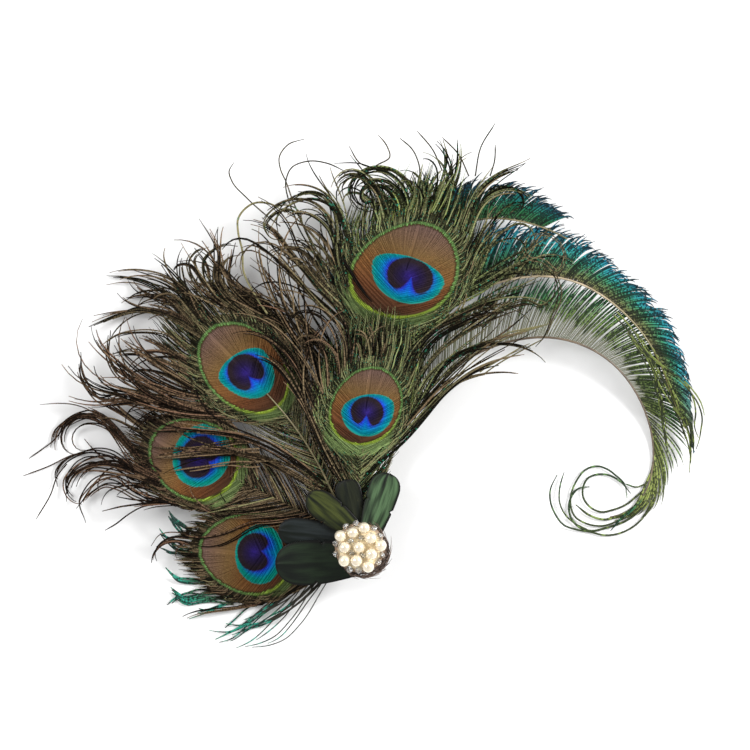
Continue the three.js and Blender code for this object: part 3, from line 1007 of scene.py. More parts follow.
@dataclass
class LockMaker:
    """Lays the strands of locks: tufts of barbs that run together and leave off one after another."""

    random: Random
    stops: int = 26
    per_mm: float = 3.6
    tuft_width: float = 1.7
    radius: float = 0.36
    start_under: float = 6.0
    tuft_bend: float = 9.0
    strand_bend: float = 2.0
    branch_share: float = 0.3
    hook: float = 55.0
    sunk: float = -0.25
    lift: float = 1.6
    rooted: bool = False
    rooted_until: float = 0.3
    tuft_stray: float = 0.1
    tuft_lengths: Pair = (0.86, 1.06)
    tuft_fill: float = 0.86
    strand_lengths: Pair = (0.6, 1.02)
    strand_fill: float = 0.62
    swing: float = 5.0
    beats: Pair = (5.0, 14.0)
    bend_power: float = 1.6
    hook_power: int = 4
    foot_width: float = 0.55
    full_width_at: float = 0.4
    gathered: float = 0.7
    gathers: Pair = (0.15, 0.9)
    depth: float = 0.75
    surfaces: Pair = (1.08, 1.5)
    tip_loss: float = 0.55
    thins_from: float = 0.86
    thicknesses: Pair = (0.75, 1.2)
    tint_foot: float = 1.2
    tint_loss: float = 0.65
    tint_stray: float = 0.06
    wisp_shortest: float = 0.8
    wisp_sway: float = 0.5
    wisp_wave: Pair = (9.0, 4.0)
    wisp_gathered: float = 0.6
    wisp_gathers_from: float = 0.4
    wisp_loss: float = 0.5
    wisp_thins_from: float = 0.85
    lone_tone: float = 0.1
    bundle_tone: float = 0.4

    def lay(self, strands: Strands, start: Pair, lock: Lock, rise: float,
            eye: Array | None = None, ring: Callable[[Array], Array] | None = None) -> None:
        """Adds one lock.

        Args:
            strands: Piece that takes the strands.
            start: Root of the lock on its quill.
            lock: The lock.
            rise: Lowest height of its strands in the layer.
            eye: Marks of its strands, a pair.
            ring: Distance of places from the middle of an eye that hides the strands, 1 on its ring.
        """
        route = Route(start, lock.headings, lock.length)
        first = max(lock.clear - self.start_under, 0) / lock.length
        tufts = max(1, round(lock.width / self.tuft_width))
        each = max(2, round(lock.width * self.per_mm / tufts))
        count = tufts * each
        draw = self.random
        tuft = np.repeat(np.arange(tufts), each)
        tuft_off = ((np.arange(tufts) + 0.5) / tufts * 2 - 1 + draw.normal(0, self.tuft_stray, tufts))[tuft]
        tuft_length = draw.uniform(*self.tuft_lengths, tufts)[tuft]
        own_off = draw.uniform(-1, 1, count)
        bend = draw.normal(0, self.tuft_bend, tufts)[tuft] + draw.normal(0, self.strand_bend, count)
        hook = draw.normal(0, self.hook, tufts)[tuft]
        branch = draw.normal(0, self.hook, count) * (draw.random(count) < self.branch_share)
        reach = draw.uniform(*self.strand_lengths, count)
        swing = draw.normal(0, self.swing, tufts)[tuft]
        beat = draw.uniform(*self.beats, tufts)[tuft]
        phase = draw.uniform(0, WAVE_PHASE, tufts)[tuft]

        share = np.linspace(0, 1, self.stops)
        run = reach[:, None] * share
        at = first + (1 - first) * run
        wave = swing[:, None] * np.sin(run * beat[:, None] + phase[:, None])
        turn = bend[:, None] * run**self.bend_power + hook[:, None] * run**self.hook_power
        turn = turn + branch[:, None] * share**self.hook_power
        headings = route.heading(at) + turn * lock.loose + wave * run
        spans = lock.length * (1 - first) * tuft_length * reach
        feet = np.repeat(route.place(np.array([first])), count, axis=0)
        ground = trace(feet, headings, spans)
        spread = self.foot_width + (1 - self.foot_width) * smoothstep(at, 0, self.full_width_at)
        gather = 1 - self.gathered * smoothstep(run, *self.gathers)
        off = tuft_off[:, None] * lock.width / 2 * self.tuft_fill * spread
        off = off + own_off[:, None] * self.tuft_width * self.strand_fill * gather
        if self.rooted:
            off = off * smoothstep(at, 0, self.rooted_until)
        ground = ground + aside(headings) * off[..., None]

        level = rise + self.depth * draw.random(count)
        lift = np.abs(draw.normal(0, self.lift, tufts))[tuft]
        out = 1.0 if ring is None else smoothstep(ring(ground), *self.surfaces)
        height = self.sunk + (level[:, None] + lift[:, None] * share**2 - self.sunk) * out
        style = BarbStyle(self.stops, self.radius, self.tip_loss, self.thins_from)
        radius = draw.uniform(*self.thicknesses, count)[:, None] * style.thickness
        tint = lock.tint * (self.tint_foot - self.tint_loss * share)
        tint = np.clip(tint + draw.normal(0, self.tint_stray, count)[:, None], 0, 1)
        strands.add(ground, height, radius, draw.random(count), tint, share, eye)

    def wisp(self, strands: Strands, row: Wisp, eye: Array | None = None) -> None:
        """Adds one wisp.

        Args:
            strands: Piece that takes the strands.
            row: The wisp.
            eye: Marks of its strands, a pair.
        """
        style = BarbStyle(2 * self.stops, row.radius, self.wisp_loss, self.wisp_thins_from)
        share = style.share
        middle = thread(row.points, len(share))
        ahead = np.gradient(middle, axis=0)
        left = np.stack([-ahead[:, 1], ahead[:, 0]], axis=-1) / np.hypot(*ahead.T)[:, None]
        many = row.strands > 1
        beside = np.linspace(-1, 1, row.strands)[:, None] if many else np.zeros((1, 1))
        run = np.linspace(1, self.wisp_shortest, row.strands)[:, None] * share
        centre, side = (
            np.stack([np.interp(run, share, column) for column in line.T], axis=-1)
            for line in (middle, left)
        )
        beat, phase = self.wisp_wave
        sway = self.random.normal(0, self.wisp_sway, (row.strands, 1)) * np.sin(run * beat + beside * phase)
        gather = 1 - self.wisp_gathered * smoothstep(run, self.wisp_gathers_from, 1.0)
        off = (beside + sway * many) * row.spread * gather
        ground = centre + off[..., None] * side
        stray = self.bundle_tone if many else self.lone_tone
        tone = row.tone + self.random.uniform(-stray, stray, row.strands)
        tint = np.array(row.tint)
        strands.add(ground, np.array(row.rise), style.thickness, tone, tint, share, eye)


def quill_strand(route: Route, layer: float, rise: float, thickness: float) -> Strands:
    """A tapering quill along a route.

    Args:
        route: The quill's route.
        layer: Layer of its feather.
        rise: Height of its middle in the layer.
        thickness: Share of the usual thickness.

    Returns:
        The quill as one strand.
    """
    share = np.linspace(0, 1, QUILL_STOPS)
    made = Strands(layer)
    radius = (QUILL_FOOT + (QUILL_TIP - QUILL_FOOT) * share) * thickness
    tone, tint = np.array([MIDDLE_SHARE]), np.array(MIDDLE_SHARE)
    made.add(route.place(share)[None], np.array(rise), radius, tone, tint, share)
    return made


@dataclass
class BarbRow:
    """Barbs that are laid on a feather in one go."""

    feather: "EyeFeather | SwordFeather"
    strands: Strands
    random: Random


@dataclass
class EyeBarbs(BarbRow):
    """Close barbs that make up an eye and its dark band, bowed from the shaft out to the rim."""

    style: BarbStyle = BarbStyle(20, 0.27, 0.7, 0.86)
    count: int = 300
    sweep: float = 178.0
    stray: float = 0.25
    band: float = 2.6
    ragged: Pair = (-0.8, 2.0)
    bow: float = 0.07
    root: float = 0.45
    full_at: float = 0.6
    height: float = 0.95
    fall: float = 0.4
    uneven: float = 0.05

    def lay(self) -> None:
        """Adds the barbs."""
        feather, random = self.feather, self.random
        half_width, half_length = feather.ring_width / 2, feather.ring_length / 2
        angle = np.linspace(-self.sweep, self.sweep, self.count) + random.normal(0, self.stray, self.count)
        band = self.band + random.uniform(*self.ragged, self.count)
        rim_u, rim_v = feather.rim(angle)
        end_u = (half_width + band) * rim_u
        end_v = (half_length + band) * rim_v
        lean = np.radians(np.interp(np.abs(angle), EYE_LEAN_AT, EYE_LEAN))
        highest = feather.finish.notch_at[1] * half_length
        root_v = np.minimum(end_v - np.abs(end_u) / np.tan(lean), highest)
        mid_u = end_u / 2 + self.bow * (end_v - root_v) * np.sign(end_u)
        mid_v = (root_v + end_v) / 2 - self.bow * np.abs(end_u)
        share = self.style.share
        early, late = (1 - share) ** 2, share**2
        between = 2 * share * (1 - share)
        across = mid_u[:, None] * between + end_u[:, None] * late
        forward = root_v[:, None] * early + mid_v[:, None] * between + end_v[:, None] * late
        eye = np.stack([across / half_width, forward / half_length], axis=-1)
        swell = self.root + (1 - self.root) * smoothstep(share, 0, self.full_at)
        radius = self.style.thickness * swell
        uneven = random.uniform(-self.uneven, self.uneven, self.count)
        height = self.height - self.fall * share + uneven[:, None]
        self.strands.add(
            feather.place(across, forward), height, radius, random.random(self.count),
            np.array(feather.vane_tint), share, eye,
        )


@dataclass
class LooseBarbs(BarbRow):
    """Loose barbs of an eye feather, which dip under the eye."""

    style: BarbStyle = BarbStyle(16, 0.27, 0.7, 0.5)
    height: float = 0.2
    slope: float = 0.3
    depth: float = 0.35
    sunk: float = 0.9
    sunk_within: Pair = (1.06, 0.98)
    thicknesses: Pair = (0.75, 1.2)
    tint_stray: float = 0.12

    def add(self, ground: Array) -> None:
        """Adds barbs along their plan places, (barbs, stops, 2)."""
        random, count, share = self.random, len(ground), self.style.share
        height = self.height + self.slope * share + self.depth * random.random(count)[:, None]
        height = height - self.sunk * smoothstep(self.feather.ring_distance(ground), *self.sunk_within)
        radius = self.style.thickness * random.uniform(*self.thicknesses, count)[:, None]
        tint = np.clip(self.feather.vane_tint + random.normal(0, self.tint_stray, count), 0, 1)[:, None]
        self.strands.add(ground, height, radius, random.random(count), tint, share)


@dataclass
class HaloBarbs(LooseBarbs):
    """Barbs that leave an eye's edge and sweep up round it."""

    count: int = 420
    sweep: float = 152.0
    feet: Pair = (1.02, 1.2)
    lean_stray: float = 4.0
    swing: float = 7.0
    beats: Pair = (5.0, 12.0)
    turned: float = 1.1
    turned_by: float = 0.9
    lengths: Pair = (0.6, 1.3)

    def lay(self) -> None:
        """Adds the barbs."""
        feather, random, share = self.feather, self.random, self.style.share
        angle = random.uniform(-self.sweep, self.sweep, self.count)
        rim_u, rim_v = feather.rim(angle)
        out = random.uniform(*self.feet, self.count)
        feet = feather.place(out * feather.ring_width / 2 * rim_u, out * feather.ring_length / 2 * rim_v)
        lean = np.interp(np.abs(angle), HALO_LEAN_AT, HALO_LEAN)
        lean = lean + random.normal(0, self.lean_stray, self.count)
        swing = random.normal(0, self.swing, self.count)
        beat = random.uniform(*self.beats, self.count)
        phase = random.uniform(0, WAVE_PHASE, self.count)
        wave = swing[:, None] * np.sin(share * beat[:, None] + phase[:, None])
        turn = 1 - self.turned * smoothstep(share, 0, self.turned_by)
        headings = feather.tilt - np.sign(angle)[:, None] * lean[:, None] * turn + wave
        spans = feather.halo_length * random.uniform(*self.lengths, self.count)
        self.add(trace(feet, headings, spans))


@dataclass
class VaneBarbs(LooseBarbs):
    """Loose barbs on both sides of a quill below its eye."""

    style: BarbStyle = BarbStyle(16, 0.28, 0.7, 0.5)
    height: float = 0.65
    slope: float = -0.5
    sunk: float = 1.1
    sunk_within: Pair = (1.25, 1.0)
    thicknesses: Pair = (0.8, 1.2)
    spacing: float = 0.5
    start: float = 6.0
    stop_short: float = 2.0
    lean: float = 44.0
    lean_loss: float = 8.0
    lean_stray: float = 2.5
    turn: float = -14.0
    turn_stray: float = 5.0
    foot_length: float = 13.0
    more_length: float = 23.0
    longest_at: float = 0.75
    lengths: Pair = (0.8, 1.12)

    def lay(self) -> None:
        """Adds the barbs."""
        feather, random, share = self.feather, self.random, self.style.share
        last = feather.shaft - feather.ring_length / 2 - self.stop_short
        at = np.arange(self.start, last, self.spacing) / feather.shaft
        count = len(at)
        longest = self.foot_length + self.more_length * smoothstep(at, 0.0, self.longest_at)
        for side in Side:
            lean = self.lean - self.lean_loss * at + random.normal(0, self.lean_stray, count)
            reach = longest * random.uniform(*self.lengths, count)
            turn = self.turn + random.normal(0, self.turn_stray, count)
            swept = side.value * (lean[:, None] + turn[:, None] * share)
            self.add(trace(feather.quill.place(at), feather.quill.heading(at)[:, None] + swept, reach))


@dataclass
class EyeFeather:
    """A feather with an eye: quill, backing plate, barbs of the eye, barbs of the loose vane, locks."""

    name: str
    layer: int
    foot: Pair
    headings: tuple[float, ...]
    shaft: float
    tilt: float
    ring_length: float
    ring_width: float
    locks: tuple[Lock, ...]
    finish: EyeFinish
    wisps: tuple[Wisp, ...] = ()
    vane_tint: float = 0.5
    eye_shift: Pair = (0.0, 0.0)
    quill_rise: float = 0.55
    quill_end: float = -1.0
    quill_share: float = 0.42
    quill_turns: int = 9
    halo_length: float = 17.0
    lock_rise: float = 0.15
    plate_band: float = 3.4
    plate_heights: Pair = (0.2, 0.5)
    plate_tone: float = 0.3
    plate_rings: int = 20
    plate_sides: int = 96
    seed: int = 1

    @property
    def quill(self) -> Route:
        """Route of the quill."""
        return Route(self.foot, self.headings, self.shaft)

    @property
    def axes(self) -> tuple[Array, Array]:
        """Directions along the eye, towards its tip, and across it, to the right."""
        heading = math.radians(self.tilt)
        axis = np.array([math.cos(heading), math.sin(heading)])
        return axis, np.array([axis[1], -axis[0]])

    def place(self, across: Array, forward: Array) -> Array:
        """Plan places of points given across and along the eye.

        Args:
            across: Distances to the right of the eye's axis.
            forward: Distances from the ring's middle towards the tip.

        Returns:
            Places with a last axis of 2.
        """
        middle = self.quill.place(np.array([1.0]))[0]
        axis, right = self.axes
        across, forward = across + self.eye_shift[0], forward + self.eye_shift[1]
        return middle + across[..., None] * right + forward[..., None] * axis

    def rim(self, angle: Array) -> tuple[Array, Array]:
        """Outline of the ring in shares of its half width and half length.

        Args:
            angle: Angles from the tip, clockwise, in degrees.

        Returns:
            Shares across and forward.
        """
        turn = np.radians(angle)
        size = 1 / np.sqrt(1 - self.finish.skew * np.sin(2 * turn))
        forward = size * np.cos(turn)
        return size * np.sin(turn) / (1 + self.finish.egg * forward), forward

    def ring_distance(self, ground: Array) -> Array:
        """Distance of plan places from the ring's middle, 1 on the ring.

        Args:
            ground: Places with a last axis of 2.

        Returns:
            The distances.
        """
        away = ground - self.place(np.zeros(1), np.zeros(1))[0]
        axis, right = self.axes
        forward = away @ axis / (self.ring_length / 2)
        across = away @ right / (self.ring_width / 2)
        across = across * (1 + self.finish.egg * np.clip(forward, -EGG_REACH, EGG_REACH))
        return np.sqrt(across**2 + forward**2 - 2 * self.finish.skew * across * forward)

    def plate(self) -> Piece:
        """Builds the thin plate of overlapping barbules below the eye's barbs.

        Returns:
            The plate.
        """
        half_width, half_length = self.ring_width / 2, self.ring_length / 2
        rings, sides = self.plate_rings, self.plate_sides
        angle = np.linspace(0, 360, sides, endpoint=False)
        size = np.linspace(0, 1, rings + 1)[1:, None]
        rim_u, rim_v = self.rim(angle)
        across = np.concatenate([[0.0], ((half_width + self.plate_band) * size * rim_u).ravel()])
        forward = np.concatenate([[0.0], ((half_length + self.plate_band) * size * rim_v).ravel()])
        ground = self.place(across, forward)
        count = len(ground)
        base = lie(ground[:, 0], ground[:, 1], self.layer)
        low, high = (np.column_stack([ground, base + height]) for height in self.plate_heights)

        spoke = np.arange(sides)
        following = np.roll(spoke, -1)
        disc = [(0, 1 + after, 1 + s) for s, after in zip(spoke, following)]
        for ring in range(rings - 1):
            inner, outer = 1 + ring * sides, 1 + (ring + 1) * sides
            disc += [
                (inner + after, outer + after, outer + s, inner + s) for s, after in zip(spoke, following)
            ]
        edge = 1 + (rings - 1) * sides
        faces = disc + [tuple(count + corner for corner in face[::-1]) for face in disc]
        faces += [
            (edge + s, edge + after, count + edge + after, count + edge + s)
            for s, after in zip(spoke, following)
        ]
        mesh = bpy.data.meshes.new(self.name + "_eye")
        mesh.from_pydata((np.concatenate([high, low]) * MM).tolist(), [], faces)
        set_marks(mesh, {
            "eye_u": np.tile(across / half_width, 2),
            "eye_v": np.tile(forward / half_length, 2),
            "tone": np.full(2 * count, self.plate_tone),
            "tint": np.full(2 * count, self.vane_tint),
            "along": np.full(2 * count, MIDDLE_SHARE),
        })
        mesh.shade_smooth()
        return link_object(self.name + "_eye", mesh)

    def build(self, sweep: StrandSweep, quill_paint: Material) -> None:
        """Builds and dresses the feather's pieces.

        Args:
            sweep: Tree that gives strands their thickness.
            quill_paint: Material of the quill.
        """
        random = np.random.default_rng(self.seed)
        paint = self.finish.dress()
        strands = Strands(self.layer)
        VaneBarbs(self, strands, random).lay()
        maker = LockMaker(random)
        for lock in self.locks:
            start = tuple(self.quill.place(np.array([lock.root / self.shaft]))[0])
            maker.lay(strands, start, lock, self.lock_rise, ring=self.ring_distance)
        HaloBarbs(self, strands, random).lay()
        EyeBarbs(self, strands, random).lay()
        for row in self.wisps:
            maker.wisp(strands, row)
        hand_in(sweep.thicken(strands, self.name + "_barbs", Section.EYE_BARB, paint), Slot.EYE, self.name)
        plate = self.plate()
        plate.data.materials.append(paint)
        hand_in(plate, Slot.EYE)
        last = 1 + self.quill_end * self.ring_length / 2 / self.shaft
        headings = tuple(self.quill.heading(np.linspace(0, last, self.quill_turns)))
        route = Route(self.foot, headings, self.shaft * last)
        quill = quill_strand(route, self.layer, self.quill_rise, self.quill_share)
        hand_in(sweep.thicken(quill, self.name + "_quill", Section.EYE_QUILL, quill_paint), Slot.EYE)


@dataclass(frozen=True)
class VaneRow:
    """Barbs of a sword feather at a share of its quill: lean, length, bare share of the stalk, and how far
    they turn with the quill."""

    at: float
    lean: float
    barb: float
    bare: float = 0.0
    follow: float = 0.0


@dataclass
class SwordBarbs(BarbRow):
    """Barbs of a sword feather's vane, gathered to points in small groups."""

    style: BarbStyle = BarbStyle(22, 1.0, 0.75, 0.8)
    root_stray: float = 0.12
    gather_stray: float = 1.5
    bow_stray: float = 2.0
    hooks: Pair = (0.2, 1.6)
    hooks_from: float = 0.7
    lengths: Pair = (0.84, 1.08)
    group_lengths: Pair = (0.94, 1.04)
    bare_stray: float = 0.05
    clothes: Pair = (-0.04, 0.06)
    height: float = 0.55
    uneven: float = 0.25
    arch: float = 0.3

    def lay(self) -> None:
        """Adds the barbs."""
        feather, random, share = self.feather, self.random, self.style.share
        step = feather.spacing / feather.length
        last = feather.rows[-1].at
        turn = min(feather.sparse_from, last)
        dense = np.arange(feather.rows[0].at, turn, step)
        at = np.concatenate([dense, np.arange(turn, last, step * feather.sparse)])
        count = len(at)
        at = at + random.normal(0, self.root_stray * step, count)
        group = np.arange(count) // feather.group
        within = np.arange(count) % feather.group - (feather.group - 1) / 2
        drift = random.normal(0, feather.drift, group[-1] + 1)[group]
        gather = within * feather.gather + drift + random.normal(0, self.gather_stray, count)
        lean = feather.column("lean", at)
        bow = feather.bow + random.normal(0, self.bow_stray, count)
        hook = feather.hook * random.uniform(*self.hooks, count)
        follow = feather.column("follow", at)
        longest = feather.column("barb", at)
        ahead = at[:, None] + (follow * longest / feather.length)[:, None] * share
        bow = bow * (1 - follow)
        headings = feather.quill.heading(ahead) + lean[:, None] + bow[:, None] * (1 - 2 * share)
        headings = headings + gather[:, None] * share
        headings = headings - hook[:, None] * smoothstep(share, self.hooks_from, 1.0)
        reach = longest * random.uniform(*self.lengths, count)
        reach = reach * random.uniform(*self.group_lengths, group[-1] + 1)[group]
        ground = trace(feather.quill.place(at), headings, reach)
        bare = np.clip(feather.column("bare", at) + random.normal(0, self.bare_stray, count), -1, 1)
        clothed = smoothstep(share - bare[:, None], *self.clothes)
        radius = feather.stalk + (feather.blade - feather.stalk) * clothed
        radius = radius * self.style.thickness
        uneven = random.uniform(-self.uneven, self.uneven, count)
        height = self.height + uneven[:, None] + self.arch * np.sin(share * np.pi)
        eye = np.stack([np.broadcast_to(bare[:, None], radius.shape), np.zeros_like(radius)], axis=-1)
        tone = np.arange(count) % 2 * MIDDLE_SHARE + random.uniform(0, MIDDLE_SHARE, count)
        self.strands.add(ground, height, radius, tone, at[:, None], share, eye)


@dataclass
class SwordFeather:
    """A one-sided feather: curved quill, barbs on its outer side and loose strands at its end."""

    name: str
    layer: int
    foot: Pair
    length: float
    headings: tuple[float, ...]
    rows: tuple[VaneRow, ...]
    locks: tuple[Lock, ...]
    finish: SwordFinish
    quill_finish: StrandFinish
    spacing: float = 0.8
    blade: float = 0.36
    stalk: float = 0.11
    group: int = 11
    gather: float = 0.55
    bow: float = 13.0
    hook: float = 22.0
    drift: float = 4.0
    sparse_from: float = 2.0
    sparse: float = 1.0
    lock_rise: float = 0.2
    quill_rise: float = 0.75
    quill_share: float = 0.6
    wisps: tuple[Wisp, ...] = ()
    seed: int = 1

    @property
    def quill(self) -> Route:
        """Route of the quill."""
        return Route(self.foot, self.headings, self.length)

    def column(self, name: str, at: Array) -> Array:
        """One column of the rows, straight between them."""
        return np.interp(at, [row.at for row in self.rows], [getattr(row, name) for row in self.rows])

    def build(self, sweep: StrandSweep) -> None:
        """Builds and dresses the feather's pieces.

        Args:
            sweep: Tree that gives strands their thickness.
        """
        random = np.random.default_rng(self.seed)
        strands = Strands(self.layer)
        SwordBarbs(self, strands, random).lay()
        maker = LockMaker(
            random, per_mm=1.5, tuft_width=1.6, tuft_bend=5, strand_bend=4, branch_share=0.2, hook=16,
            sunk=0.2, lift=0.5, rooted=True,
        )
        for lock in self.locks:
            start = tuple(self.quill.place(np.array([lock.root]))[0])
            maker.lay(strands, start, lock, self.lock_rise, np.array([lock.clear, 0.0]))
        for row in self.wisps:
            maker.wisp(strands, row, np.array([row.bare, 0.0]))
        paint = self.finish.dress()
        barbs = sweep.thicken(strands, self.name + "_barbs", Section.SWORD_BARB, paint)
        hand_in(barbs, Slot.SWORD, self.name)
        quill = quill_strand(self.quill, self.layer, self.quill_rise, self.quill_share)
        quill_paint = self.quill_finish.dress()
        hand_in(sweep.thicken(quill, self.name + "_quill", Section.SWORD_QUILL, quill_paint), Slot.SWORD)


@dataclass
class PadFeather:
    """A rounded dark leaf laid over the quills: cupped vane, raised shaft, small splits in its rim."""

    number: int
    foot: Pair
    heading: float
    length: float
    width: float
    layer: int
    middle: Colour
    rim: Colour = srgb(12, 17, 13)
    splits: tuple[tuple[float, int], ...] = ((0.5, 1), (0.4, -1))
    steps: int = 72
    rows: int = 28
    shoulder: float = 0.6
    narrow: float = 0.72
    roundness: float = 0.985
    tip_power: float = 2.6
    split_half: float = 0.02
    split_depth: float = 0.16
    underside: float = 0.12
    edge: float = 0.6
    crown: float = 0.5
    shaft_rise: float = 0.12
    shaft_half: float = 0.3
    dark_rim: Pair = (0.2, 1.3)

    def half_width(self, along: Array, across: Array) -> Array:
        """Half width of the leaf, cut in at its splits.

        Args:
            along: Shares of the length.
            across: Shares of the half width, left positive.

        Returns:
            The half widths at those places.
        """
        past = np.maximum(along - self.shoulder, 0) / (1 - self.shoulder)
        opening = np.sin(np.minimum(along / self.shoulder, 1) * np.pi / 2)
        widening = self.narrow + (1 - self.narrow) * opening
        half = self.width / 2 * widening * np.sqrt(1 - self.roundness * past**self.tip_power)
        for place, side in self.splits:
            cut = np.exp(-(((along - place) / self.split_half) ** 2)) * np.clip(side * across, 0, 1) ** 3
            half = half * (1 - self.split_depth * cut)
        return half

    def build(self) -> None:
        """Builds and dresses the leaf."""
        lengthwise, crosswise = np.linspace(0, 1, self.steps), np.linspace(-1, 1, self.rows)
        along, across = np.meshgrid(lengthwise, crosswise, indexing="ij")
        half = self.half_width(along, across)
        route = Route(self.foot, (self.heading, self.heading), self.length)
        ground = route.place(along) + aside(np.array(self.heading)) * (half * across)[..., None]
        base = lie(ground[..., 0], ground[..., 1], self.layer)
        crown = self.edge + self.crown * (1 - across**2) * np.sqrt(1 - along**4)
        crown = crown + self.shaft_rise * np.exp(-((across * half / self.shaft_half) ** 2))
        top = np.concatenate([ground, (base + crown)[..., None]], axis=-1)
        bottom = np.concatenate([ground, (base + self.underside)[..., None]], axis=-1)

        count = self.steps * self.rows
        index = np.arange(count).reshape(self.steps, self.rows)
        corners = (index[:-1, :-1], index[1:, :-1], index[1:, 1:], index[:-1, 1:])
        cell = np.stack(corners, axis=-1).reshape(-1, 4)
        loop = np.concatenate([index[:-1, 0], index[-1, :-1], index[:0:-1, -1], index[0, :0:-1]])
        following = np.roll(loop, -1)
        rim = np.stack([loop, loop + count, following + count, following], axis=-1)
        faces = np.concatenate([cell, cell[:, ::-1] + count, rim])
        name = f"pad_feather_{self.number}"
        mesh = bpy.data.meshes.new(name + "_vane")
        places = np.concatenate([top.reshape(-1, 3), bottom.reshape(-1, 3)]) * MM
        mesh.from_pydata(places.tolist(), [], faces.tolist())
        inset = np.minimum((1 - np.abs(across)) * half, (1 - along) * self.length)
        set_marks(mesh, {
            "vane_along": np.tile((along * self.length).ravel(), 2),
            "vane_across": np.tile(across.ravel(), 2),
            "vane_edge": np.tile((1 - smoothstep(inset, *self.dark_rim)).ravel(), 2),
        })
        mesh.shade_smooth()
        made = link_object(name + "_vane", mesh)
        mesh.materials.append(PadFinish(name, self.middle, self.rim).dress())
        hand_in(made, Slot.PAD, name)


@dataclass
class DownRuff:
    """Soft brown down round the brooch, swept up its right side and out below."""

    layer: int = 8
    middle: Pair = (1.4, -1.6)
    inner: float = 5.0
    outer: float = 9.8
    hairs: int = 1000
    length: float = 5.0
    radius: float = 0.2
    stops: int = 7
    swirl: float = 84.0
    swirl_stray: float = 8.0
    turn: float = 30.0
    turn_stray: float = 9.0
    climb: float = 0.6
    climb_at: float = 25.0
    climb_half: float = 22.0
    lengths: Pair = (0.5, 1.15)
    drops: Pair = (0.2, 3.5)
    drop_power: float = 1.5
    heights: Pair = (0.1, 1.0)
    thicknesses: Pair = (0.7, 1.3)
    tip_loss: float = 0.7
    finish: StrandFinish = StrandFinish("down", srgb(42, 31, 26), srgb(108, 88, 76), 0.8)
    seed: int = 77

    def build(self, sweep: StrandSweep) -> None:
        """Builds and dresses the down.

        Args:
            sweep: Tree that gives strands their thickness.
        """
        random = np.random.default_rng(self.seed)
        count = self.hairs
        angle = random.uniform(-180, 180, count)
        distance = random.uniform(self.inner, self.outer, count)
        outward = np.stack([np.cos(np.radians(angle)), np.sin(np.radians(angle))], axis=-1)
        feet = outward * distance[:, None] + np.array(self.middle)
        swirl = self.swirl + random.normal(0, self.swirl_stray, count)
        share = np.linspace(0, 1, self.stops)
        turn = self.turn + random.normal(0, self.turn_stray, count)
        headings = angle[:, None] + swirl[:, None] + turn[:, None] * share
        upward = np.exp(-(((angle - self.climb_at) / self.climb_half) ** 2))
        spans = self.length * random.uniform(*self.lengths, count) * (1 + self.climb * upward)
        ground = trace(feet, headings, spans)
        drop = random.uniform(*self.drops, count) * (1 - upward)
        height = random.uniform(*self.heights, count)
        height = height[:, None] - drop[:, None] * share**self.drop_power
        thickness = random.uniform(*self.thicknesses, count)
        radius = self.radius * thickness[:, None] * (1 - self.tip_loss * share)
        strands = Strands(self.layer)
        strands.add(ground, height, radius, random.random(count), np.array(MIDDLE_SHARE), share)
        made = sweep.thicken(strands, "base_down_hairs", Section.HAIR, self.finish.dress())
        hand_in(made, Slot.DOWN, "base_down")


